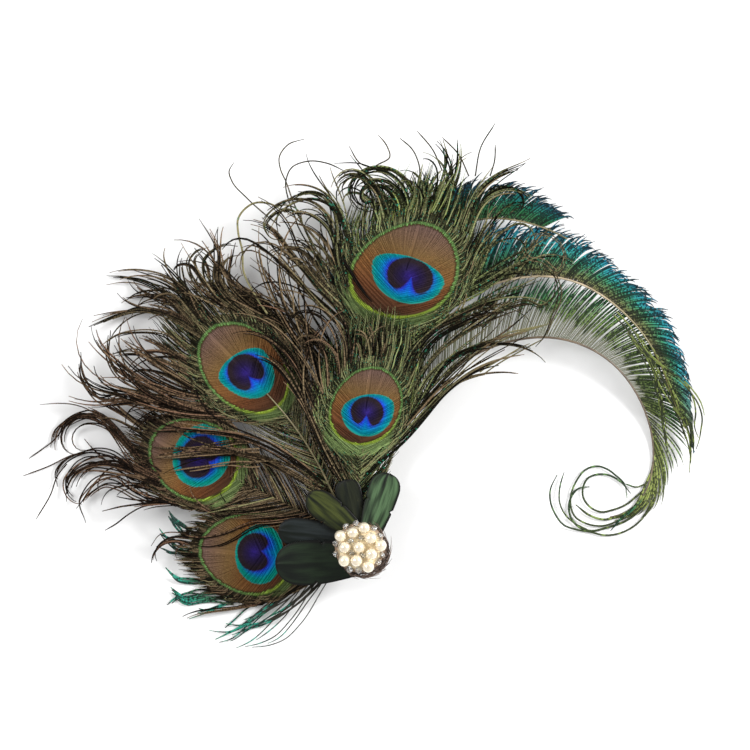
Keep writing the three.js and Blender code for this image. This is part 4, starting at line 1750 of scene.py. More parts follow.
@dataclass
class Brooch:
    """Pearls and small clear beads on a shallow domed setting."""

    layer: int = 9
    radius: float = 9.4
    chamfer: float = 0.6
    rim: float = 1.2
    dome: float = 1.6
    dome_radius: float = 10.4
    pearl_radius: float = 2.25
    bead_radius: float = 1.3
    bead_hole: float = 0.32
    bead_sunk: float = 0.35
    bead_oval: float = 1.25
    bead_tumble: float = 1.2
    bead_steps: int = 10
    bead_sides: int = 16
    dome_steps: int = 10
    setting_sides: int = 48
    pearl_rings: int = 20
    pearl_sides: int = 32
    pearl_round: Pair = (0.98, 1.02)
    seed: int = 5
    pearls: tuple[Pair, ...] = (
        (-7.3, 4.5), (-2.7, 5.8), (1.5, 7.6), (4.0, 3.7), (7.8, 1.0), (-5.8, 0.2),
        (-0.3, 0.3), (4.3, -2.2), (-5.9, -4.7), (-1.3, -4.7), (3.1, -7.0),
    )
    beads: tuple[Pair, ...] = (
        (-5.3, 8.1), (-1.6, 9.3), (5.3, 7.4), (7.7, 4.6), (0.5, 3.9), (-3.4, 2.6), (-9.2, 1.5),
        (-9.0, -2.2), (-3.0, -1.9), (1.1, -2.9), (8.4, -2.6), (6.9, -5.3), (-3.9, -8.1), (-0.4, -8.4),
    )

    @property
    def low(self) -> float:
        """Height of the setting's underside."""
        return float(lie(np.array(0.0), np.array(0.0), self.layer)) + GAP

    def top(self, distance: float) -> float:
        """Height of the setting's dome at a distance from its middle."""
        share = min(distance, self.radius) / self.dome_radius
        return self.low + self.rim + self.dome * math.sqrt(1 - share**2)

    def turned(self, name: str, profile: list[Pair], sides: int, closed: bool = False,
               middle: tuple[float, float, float] = (0, 0, 0),
               stretch: tuple[float, ...] = (1, 1, 1)) -> Mesh:
        """Turns a profile about Z.

        Args:
            name: Name of the mesh.
            profile: Radius and height of each corner, upwards on the outside.
            sides: Number of sides.
            closed: Whether the profile closes on itself, else it starts and ends on the axis.
            middle: Place of the profile's origin.
            stretch: Shares of the full size along X, Y and Z.

        Returns:
            The mesh.
        """
        turns = [math.tau * s / sides for s in range(sides)]
        ring = [(math.cos(turn), math.sin(turn)) for turn in turns]
        inner = profile if closed else profile[1:-1]
        places = [(radius * c, radius * s, height) for radius, height in inner for c, s in ring]
        faces: list[tuple[int, ...]] = []
        for step in range(len(inner) if closed else len(inner) - 1):
            low, high = step * sides, (step + 1) % len(inner) * sides
            faces += [
                (low + s, low + (s + 1) % sides, high + (s + 1) % sides, high + s) for s in range(sides)
            ]
        if not closed:
            poles = [(0.0, 0.0, profile[0][1]), (0.0, 0.0, profile[-1][1])]
            last = (len(inner) - 1) * sides
            first_pole = len(places)
            places += poles
            faces += [(first_pole, (s + 1) % sides, s) for s in range(sides)]
            faces += [(first_pole + 1, last + s, last + (s + 1) % sides) for s in range(sides)]
        placed = (np.array(places) * np.array(stretch) + np.array(middle)) * MM
        mesh = bpy.data.meshes.new(name)
        mesh.from_pydata(placed.tolist(), [], faces)
        mesh.shade_smooth()
        return mesh

    def build_setting(self, scatter: BeadScatter) -> None:
        """Builds the domed setting and its small clear beads.

        Args:
            scatter: Tree that places the beads.
        """
        profile = [
            (0.0, self.low), (self.radius - self.chamfer, self.low), (self.radius, self.low + self.chamfer),
        ]
        for step in range(self.dome_steps, -1, -1):
            distance = self.radius * step / self.dome_steps
            profile.append((distance, self.top(distance)))
        mesh = self.turned("brooch_setting_base", profile, self.setting_sides)
        reach = np.array([math.hypot(*corner.co[:2]) for corner in mesh.vertices])
        set_marks(mesh, {"rim_share": reach / (self.radius * MM)})
        mesh.materials.append(SettingFinish().dress())
        hand_in(link_object("brooch_setting_base", mesh), Slot.SETTING, "brooch_setting")

        middle = (self.bead_radius + self.bead_hole) / 2
        thick = (self.bead_radius - self.bead_hole) / 2
        turns = [math.tau * step / self.bead_steps for step in range(self.bead_steps)]
        section = [(middle + thick * math.cos(t), self.bead_oval * thick * math.sin(t)) for t in turns]
        form = link_object("clear_bead_form", self.turned("clear_bead_form", section, self.bead_sides, True))
        random = np.random.default_rng(self.seed)
        points = bpy.data.meshes.new("brooch_clear_beads")
        heights = [self.top(math.hypot(x, y)) + self.bead_radius - self.bead_sunk for x, y in self.beads]
        points.from_pydata([(x * MM, y * MM, z * MM) for (x, y), z in zip(self.beads, heights)], [], [])
        turn = random.uniform(-self.bead_tumble, self.bead_tumble, (len(self.beads), 3)).astype(np.float32)
        points.attributes.new("turn", "FLOAT_VECTOR", "POINT").data.foreach_set("vector", turn.ravel())
        beads = link_object("brooch_clear_beads", points)
        scatter.apply(beads, Bead=form, Material=CLEAR_BEAD.dress())
        bpy.data.objects.remove(form)
        hand_in(beads, Slot.SETTING)

    def build_pearls(self) -> None:
        """Builds each pearl, very slightly out of round."""
        paint = PEARL_LUSTRE.dress()
        random = np.random.default_rng(self.seed)
        turns = [math.pi * (step / self.pearl_rings - 0.5) for step in range(self.pearl_rings + 1)]
        profile = [(self.pearl_radius * math.cos(t), self.pearl_radius * math.sin(t)) for t in turns]
        for number, (x, y) in enumerate(self.pearls, 1):
            height = self.top(math.hypot(x, y)) + self.pearl_radius + GAP
            stretch = tuple(random.uniform(*self.pearl_round, 3))
            name = f"pearl_{number:02d}"
            mesh = self.turned(
                name + "_lustre", profile, self.pearl_sides, middle=(x, y, height), stretch=stretch
            )
            mesh.materials.append(paint)
            hand_in(link_object(name + "_lustre", mesh), Slot.PEARL, name)

    def build(self, scatter: BeadScatter) -> None:
        """Builds and dresses the brooch, its small beads with the tree that places them."""
        self.build_setting(scatter)
        self.build_pearls()


@dataclass
class HairClip:
    """The sprung clip, whose solid keeps its shape and gets a plated finish."""

    node: str = "hair_clip"

    def build(self) -> None:
        """Dresses the clip."""
        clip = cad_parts[self.node]
        clip.data.materials.clear()
        clip.data.materials.append(SteelFinish().dress())
        LOG.info("%s: plated", clip.name)


@dataclass(frozen=True)
class Softbox:
    """A square light: place, side and power in watts."""

    name: str
    place: tuple[float, float, float]
    side: float
    power: float

    def build(self, aim: Pair) -> None:
        """Builds the light, turned to a place on the floor.

        Args:
            aim: The place.
        """
        light = bpy.data.lights.new(self.name, "AREA")
        light.energy = self.power
        light.size = self.side * MM
        lamp = bpy.data.objects.new(self.name, light)
        lamp.location = Vector(self.place) * MM
        towards = Vector((*aim, 0.0)) - Vector(self.place)
        lamp.rotation_euler = towards.to_track_quat("-Z", "Y").to_euler()
        bpy.context.scene.collection.objects.link(lamp)


@dataclass
class Studio:
    """White floor, soft light from both sides and a camera looking straight down."""

    middle: Pair = (5.7, 65.0)
    view_width: float = 285.0
    view_height: float = 8.0
    camera_height: float = 1300.0
    sensor: float = 36.0
    clip_near: float = 50.0
    clip_far: float = 20000.0
    floor_half: float = 3000.0
    sky: Pair = (0.84, 0.42)
    fade: Pair = (0.6, 0.95)
    softboxes: tuple[Softbox, ...] = (
        Softbox("key_softbox", (1100, 460, 720), 420, 26.0),
        Softbox("fill_softbox", (-640, 320, 900), 420, 7.0),
    )

    def build_floor(self) -> None:
        """Builds the floor."""
        half = self.floor_half * MM
        mesh = bpy.data.meshes.new("studio_floor")
        corners = [(-half, -half, 0), (half, -half, 0), (half, half, 0), (-half, half, 0)]
        mesh.from_pydata(corners, [], [(0, 1, 2, 3)])
        mesh.materials.append(STUDIO_FLOOR.dress())
        link_object("studio_floor", mesh)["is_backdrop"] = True

    def build_sky(self) -> None:
        """Builds the even light from above, which dims straight overhead."""
        world = bpy.data.worlds.new("studio_light")
        world.use_nodes = True
        tree = world.node_tree
        sky = tree.nodes["Background"]
        sky.inputs["Strength"].default_value = 1.0
        direction = tree.nodes.new("ShaderNodeTexCoord")
        parts = tree.nodes.new("ShaderNodeSeparateXYZ")
        fade = tree.nodes.new("ShaderNodeMapRange")
        for socket, value in zip(("From Min", "From Max", "To Min", "To Max"), (*self.fade, *self.sky)):
            fade.inputs[socket].default_value = value
        tree.links.new(direction.outputs["Generated"], parts.inputs["Vector"])
        tree.links.new(parts.outputs["Z"], fade.inputs["Value"])
        tree.links.new(fade.outputs["Result"], sky.inputs["Color"])
        bpy.context.scene.world = world

    def build_camera(self) -> None:
        """Builds the camera."""
        data = bpy.data.cameras.new("photo_camera")
        data.sensor_width = self.sensor
        data.lens = self.sensor * (self.camera_height - self.view_height) / self.view_width
        data.clip_start = self.clip_near * MM
        data.clip_end = self.clip_far * MM
        camera = bpy.data.objects.new("photo_camera", data)
        camera.location = Vector((*self.middle, self.camera_height)) * MM
        bpy.context.scene.collection.objects.link(camera)
        bpy.context.scene.camera = camera
        bpy.context.scene.view_settings.view_transform = "Standard"

    def build(self) -> None:
        """Builds the floor, the lights and the camera."""
        self.build_floor()
        self.build_sky()
        for softbox in self.softboxes:
            softbox.build(self.middle)
        self.build_camera()


# Rows of locks give root, length, bare start, width, headings and tint.
# Rows of wisps give points, tint, radius, strands, spread, rise and tone.
EYE_FEATHERS = (
    EyeFeather(
        "eye_feather_lower_left", layer=1, foot=(-1, -0.7), headings=(184, 184, 178),
        shaft=42, tilt=174, ring_length=35.5, ring_width=31.2,
        locks=(
            Lock(7, 67, 8, 7, (130, 165, 185, 190, 165), 0.12),
            Lock(35, 48, 18, 3, (178, 172, 158, 240), 0.05),
            Lock(9, 64, 10, 8, (240, 206, 196, 165, 135), 0.2),
        ),
        finish=EyeFinish(
            "eye_lower_left",
            blue=Oval((0.01, -0.335), 0.743, 0.48, 0.555),
            pupil=Oval((0.049, -0.19), 0.464, 0.383, 0.364),
            notch_at=(0.091, -0.325), notch_slope=0.88, teal=0.8, egg=0.18,
        ),
        wisps=(
            Wisp(((-20, 9), (-28, 9.8), (-36, 10), (-43, 8.1), (-51, 4.9), (-57, 3.5), (-63, 3.2), (-70, 5),
                  (-76, 4), (-79, 0)), 0.08, 0.3, 2, 0.4, 1.2),
            Wisp(((-20, 7.8), (-28, 8.8), (-36, 8.3), (-41, 6.6), (-48, 2.3), (-53, 0.1), (-58, -0.6),
                  (-63, 0.3)), 0.08, 0.3, 2, 0.4, 1.2),
        ),
        vane_tint=0.3, eye_shift=(-0.3, 0.68), halo_length=6.0, seed=11,
    ),
    EyeFeather(
        "eye_feather_left", layer=2, foot=(-1.5, 2.7), headings=(153, 153, 152),
        shaft=68, tilt=153, ring_length=35, ring_width=30,
        locks=(
            Lock(57, 84, 26, 4, (192, 180, 148, 128, 156, 214, 262), 0.05),
            Lock(51, 77, 26, 4, (190, 182, 162, 164, 196, 250), 0.05),
            Lock(43, 70, 24, 4.5, (194, 184, 172, 160, 180, 240), 0.08),
            Lock(39, 60, 18, 4, (192, 184, 178, 200), 0.1),
            Lock(63, 50, 20, 5, (156, 152, 146, 160), 0.2),
        ),
        finish=EyeFinish(
            "eye_left",
            blue=Oval((0.163, -0.137), 0.82, 0.605, 0.605),
            pupil=Oval((0.1, -0.103), 0.54, 0.39, 0.39),
            notch_at=(0.1, -0.326), teal=0.75, spill=0.7,
        ),
        wisps=(
            Wisp(((-76, 27), (-85.6, 32.7), (-90.4, 39), (-94.3, 44.3), (-98.2, 48.7), (-102.5, 50.4),
                  (-107.4, 49.2), (-112.2, 46.3), (-116.1, 42.4), (-117.1, 37.1)), 0.05, 0.33, 7, 2.0, 1.0),
            Wisp(((-76, 24), (-85.6, 26.9), (-92.4, 31.2), (-98.2, 32.2), (-104, 31.5), (-108.8, 28.8),
                  (-112.2, 24.5), (-111.3, 19.6), (-108.4, 17.2), (-106, 16.8)), 0.05, 0.33, 6, 1.8, 1.0),
            Wisp(((-86, 30), (-95.3, 34.6), (-102.1, 35.8), (-108.4, 34.6), (-113.2, 31.7), (-115.6, 27.9),
                  (-114.7, 22.5)), 0.05, 0.34, 4, 0.9, 1.2),
            Wisp(((-102, 35.6), (-108.8, 34.6), (-119.5, 29.8), (-128.7, 26.4)), 0.05),
            Wisp(((-78, 17), (-85.6, 19.6), (-91.4, 22.5), (-97.2, 23.5), (-102.1, 20.6), (-105.4, 16.7),
                  (-107.9, 13.8)), 0.05, 0.33, 4, 1.5, 1.0),
            Wisp(((-80, 22), (-87.5, 23.5), (-92.4, 25.9), (-97.2, 26.2), (-101.6, 24), (-104.5, 20.6),
                  (-106.4, 17.2), (-104, 8.9)), 0.05, 0.34, 3, 0.8, 1.2),
            Wisp(((-76, 16), (-81.7, 15.2), (-88, 11.9), (-92.4, 8.5), (-96.7, 6)), 0.05, 0.36),
            Wisp(((-112, 31), (-115.6, 26.4), (-118, 19.6), (-123.4, 9.9)), 0.05),
            Wisp(((-113, 45), (-117, 40), (-121.5, 36.5), (-126.5, 33)), 0.05),
        ),
        vane_tint=0.25, eye_shift=(-0.9, 0.9), halo_length=8.0, seed=12,
    ),
    EyeFeather(
        "eye_feather_upper_left", layer=3, foot=(-3, 4), headings=(113, 116, 128, 138),
        shaft=75, tilt=135, ring_length=39.2, ring_width=29.1,
        locks=(
            Lock(40, 94, 22, 9, (90, 98, 114, 150, 126, 160), 0.35),
            Lock(52, 86, 36, 11, (86, 97, 122, 156, 112, 200), 0.3),
            Lock(72, 58, 18, 9, (132, 130, 120, 118), 0.45),
            Lock(70, 71, 20, 9, (137, 134, 124, 160, 182), 0.35),
            Lock(66, 78, 20, 9, (150, 146, 116, 160, 186, 176), 0.3),
            Lock(52, 68, 24, 16, (152, 160, 152, 150, 165), 0.25),
            Lock(44, 92, 22, 10, (128, 172, 174, 160, 154, 150), 0.15),
            Lock(38, 103, 18, 9, (120, 170, 180, 166, 176, 112), 0.15),
            Lock(13, 84, 4, 9, (134, 146, 156, 174, 184, 180), 0.22, loose=0.55),
        ),
        finish=EyeFinish(
            "eye_upper_left",
            blue=Oval((0.0, 0.046), 0.69, 0.715, 0.266),
            pupil=Oval((-0.04, -0.09), 0.454, 0.367, 0.367),
            notch_at=(-0.066, -0.165), roll=-8, egg=0.0,
        ),
        wisps=(
            Wisp(((-60, 80), (-68.4, 85.1), (-77.9, 88.9), (-85.1, 90.1), (-92.5, 87.6), (-98.8, 84.7),
                  (-103, 82.8)), 0.35, 0.36, 6, 0.9, 1.4),
            Wisp(((-60, 90), (-68.4, 94.4), (-77.9, 98.8), (-87.8, 101.7),
                  (-96.9, 102.4)), 0.4, 0.34, 4, 0.8, 1.4),
            Wisp(((-76, 52), (-87.8, 55.5), (-100, 57), (-105.6, 64.2),
                  (-106.6, 73.6)), 0.1, 0.36, 7, 1.5, 1.2),
            Wisp(((-74, 57), (-84, 61), (-92, 66), (-96, 74), (-96, 82)), 0.15, 0.36, 5, 1.3, 1.2),
            Wisp(((-66, 74), (-74, 80), (-83, 81.5), (-92, 80), (-98.5, 75.5)), 0.3, 0.33, 3, 0.7, 1.2),
            Wisp(((-70, 65), (-78, 71), (-87, 74), (-95, 72.5)), 0.3, 0.33, 3, 0.8, 1.1),
            Wisp(((-50, 89), (-59.1, 95.9), (-64.4, 104.1), (-64.9, 108), (-62, 111.9),
                  (-57.1, 113.8)), 0.35, 0.34, 4, 0.8, 1.4),
            Wisp(((-47, 89), (-56.2, 95.9), (-61.5, 104.1), (-62.5, 108.5),
                  (-59.1, 112.8)), 0.3, 0.34, 3, 0.5, 1.4),
            Wisp(((-45, 89), (-53.7, 95.9), (-58.1, 102.2), (-58.6, 108.5), (-55.2, 112.3), (-50.3, 114.8),
                  (-46, 114.3)), 0.4, 0.34, 4, 0.7, 1.4),
            Wisp(((-43, 88), (-50.8, 94.9), (-54.7, 101.7), (-54.7, 107),
                  (-51.3, 110.9)), 0.3, 0.34, 3, 0.5, 1.4),
            Wisp(((-40, 88), (-48.4, 94.4), (-52.3, 100.7), (-52.3, 105.6), (-49.4, 109.4),
                  (-45, 110.4)), 0.35, 0.34, 4, 0.6, 1.4),
            Wisp(((-38, 89), (-46, 94.9), (-49.4, 99.7), (-49.9, 104.1),
                  (-47, 108)), 0.3, 0.34, 3, 0.5, 1.4),
            Wisp(((-38, 39.2), (-50.5, 39.2), (-61.2, 37.3), (-79.8, 37.1)), 0.2, 0.36, 3, 0.7, 1.3, 0.7),
            Wisp(((-38, 36), (-50.5, 35.7), (-61.2, 34.7), (-69.7, 33.9),
                  (-79.8, 33.4)), 0.2, 0.36, 4, 1.0, 1.3, 0.65),
            Wisp(((-38, 31.5), (-50.5, 31), (-59.8, 30), (-71, 28.3)), 0.2, 0.36, 3, 0.7, 1.3, 0.7),
        ),
        vane_tint=0.45, eye_shift=(0.81, 1.26), quill_rise=1.05, quill_end=-0.6, quill_share=0.5, seed=13,
    ),
    EyeFeather(
        "eye_feather_top", layer=4, foot=(1, 5), headings=(87, 81, 71),
        shaft=100, tilt=73, ring_length=37.4, ring_width=38.4,
        locks=(
            Lock(67, 69, 10, 6, (42, 26, 24, 15), 0.75),
            Lock(75, 86, 24, 6, (22, 32, 55, 70, 30, -105), 0.75),
            Lock(82, 73, 20, 6, (18, 20, 26, 30, 5, -85), 0.8),
            Lock(80, 92, 38, 6, (0, 30, 76, 82, 62, 8, -50), 0.75),
            Lock(95, 62, 20, 11, (70, 68, 62, 78, 122), 0.95),
            Lock(95, 48, 20, 9, (98, 84, 68, 80, 110), 0.95),
            Lock(96, 66, 18, 10, (95, 92, 82, 140, 205, 335), 0.85),
            Lock(94, 58, 20, 10, (112, 108, 98, 110, 160, 280), 0.75),
            Lock(70, 86, 30, 9, (118, 112, 108, 106, 182, 262), 0.6),
            Lock(62, 72, 18, 11, (112, 120, 118, 122, 155), 0.5),
            Lock(55, 92, 16, 11, (102, 118, 138, 130, 130, 218), 0.4),
            Lock(40, 88, 12, 14, (118, 126, 130, 118, 104), 0.3),
        ),
        finish=EyeFinish(
            "eye_top",
            blue=Oval((0.057, -0.036), 0.735, 0.62, 0.31),
            pupil=Oval((0.109, -0.106), 0.456, 0.39, 0.366),
            notch_at=(0.14, -0.089), notch_slope=0.42, roll=-2, teal=0.15, egg=0.12, skew=0.2,
        ),
        wisps=(
            Wisp(((-30, 121), (-35.7, 125.4), (-43, 132), (-48.3, 138), (-49.4, 141.8), (-47.5, 145.2))),
            Wisp(((-22, 123), (-25.5, 131), (-28, 138), (-30, 142.5), (-30.5, 147), (-27, 152),
                  (-21, 154))),
            Wisp(((-24, 123), (-27, 131), (-28, 138), (-26, 143), (-19.4, 145.7), (-12, 144.8),
                  (-4.8, 141.4))),
            Wisp(((-35, 88), (-40.5, 96.5), (-44, 104), (-44.5, 112), (-46, 118.6), (-46, 124),
                  (-43.5, 127.7), (-39.6, 130), (-34, 129.7), (-28, 126.3)), 0.45, 0.5, tone=0.95),
            Wisp(((-7, 109.5), (-3.5, 104), (-0.2, 99), (2.6, 95),
                  (4.6, 92.6)), 0.2, 0.42, 2, 0.35, 1.3, 0.0),
            Wisp(((-5, 98), (-8.4, 110.2), (-8.7, 121.6), (-10.6, 128.8), (-14.4, 132.6), (-20.5, 133.4),
                  (-25.1, 131.1), (-28.1, 129.2)), 0.5, 0.34, 6, 1.2, 1.3),
            Wisp(((-12, 104), (-22.4, 121.6), (-24.3, 126.2), (-28.5, 127.7), (-33.4, 125.4),
                  (-35.7, 121.6), (-33.4, 117), (-28.5, 115.9)), 0.45, 0.34, 4, 1.0, 1.2),
            Wisp(((21, 136), (15, 140.8), (7.4, 142.7), (0, 144.8), (-4.2, 151.4))),
            Wisp(((22.6, 138), (22.2, 144.3), (19.7, 150), (15, 154.3))),
            Wisp(((31, 142), (27.3, 150), (21.5, 157))),
            Wisp(((41, 140), (37.2, 148), (31, 154.6))),
            Wisp(((43.4, 140), (45.5, 150.8), (51, 160))),
            Wisp(((49, 140), (50.7, 145.8), (51, 151.8))),
            Wisp(((1, 140.5), (6.6, 144.3), (11.2, 147.3), (10, 151.5), (6.9, 155.5))),
        ),
        vane_tint=0.6, eye_shift=(-1.2, 1.3), seed=14,
    ),
    EyeFeather(
        "eye_feather_centre", layer=5, foot=(-1, 6), headings=(88, 85, 80),
        shaft=48, tilt=82, ring_length=29.8, ring_width=26.6,
        locks=(
            Lock(22, 78, 6, 5, (41, 41, 50, 52, 36, 32, 29), 0.5, loose=0.4),
            Lock(24, 85, 12, 6, (36, 50, 46, 26, 23), 0.55, loose=0.5),
            Lock(26, 94, 20, 7, (40, 54, 64, 34, 20, 13), 0.55, loose=0.5),
            Lock(36, 89, 24, 7, (50, 56, 66, 28, 21, 14), 0.5, loose=0.5),
            Lock(24, 75, 18, 9, (128, 104, 88, 88, 130, 205), 0.3),
            Lock(12, 84, 12, 14, (122, 112, 106, 104), 0.3),
            Lock(48, 31, 14, 12, (84, 86, 88), 0.55),
        ),
        finish=EyeFinish(
            "eye_centre",
            blue=Oval((0.03, -0.08), 0.75, 0.7, 0.37),
            pupil=Oval((0.045, -0.15), 0.46, 0.385, 0.385),
            notch_at=(0.046, -0.206), roll=14, teal=0.0, egg=0.06, skew=0.15, lobe_round=0.5, spill=1.0,
        ),
        wisps=(
            Wisp(((45.6, 83.2), (56.2, 91.2), (63.1, 92.7), (68.4, 91.2), (72.2, 93.9),
                  (73.3, 101.8)), 0.45, 0.36, 3, 0.6, 1.2, 0.75),
            Wisp(((45.6, 76.2), (58.9, 80.9), (71.2, 84.7)), 0.45, 0.36, 3, 0.7, 1.2, 0.8),
            Wisp(((45.6, 65.5), (56.2, 72.4), (69, 78.8)), 0.45, 0.34, 2, 0.6, 1.2, 0.8),
            Wisp(((64, 112), (68.4, 118), (73.3, 116.3), (77.1, 109.2), (74.5, 103.9), (69, 107.6),
                  (63.2, 109.2), (61.6, 114), (65.7, 118.3), (71.2, 116.2)), 0.35, 0.25, 2, 0.6, 1.2, 0.5),
            Wisp(((73.3, 104), (75.5, 96.5), (72.2, 85.9), (69.5, 78.9),
                  (66.4, 75.4)), 0.35, 0.33, 2, 0.5, 1.2, 0.75),
        ),
        vane_tint=0.6, eye_shift=(-1.09, -0.57), seed=16,
    ),
)

PALE_QUILL = StrandFinish("quill_pale", srgb(122, 106, 82), srgb(206, 190, 162), 0.4, 0.76)
DARK_QUILL = StrandFinish("quill_dark", srgb(60, 48, 38), srgb(120, 104, 84), 0.45)
OLIVE_QUILL = StrandFinish("quill_olive", srgb(70, 66, 44), srgb(150, 138, 100), 0.45)

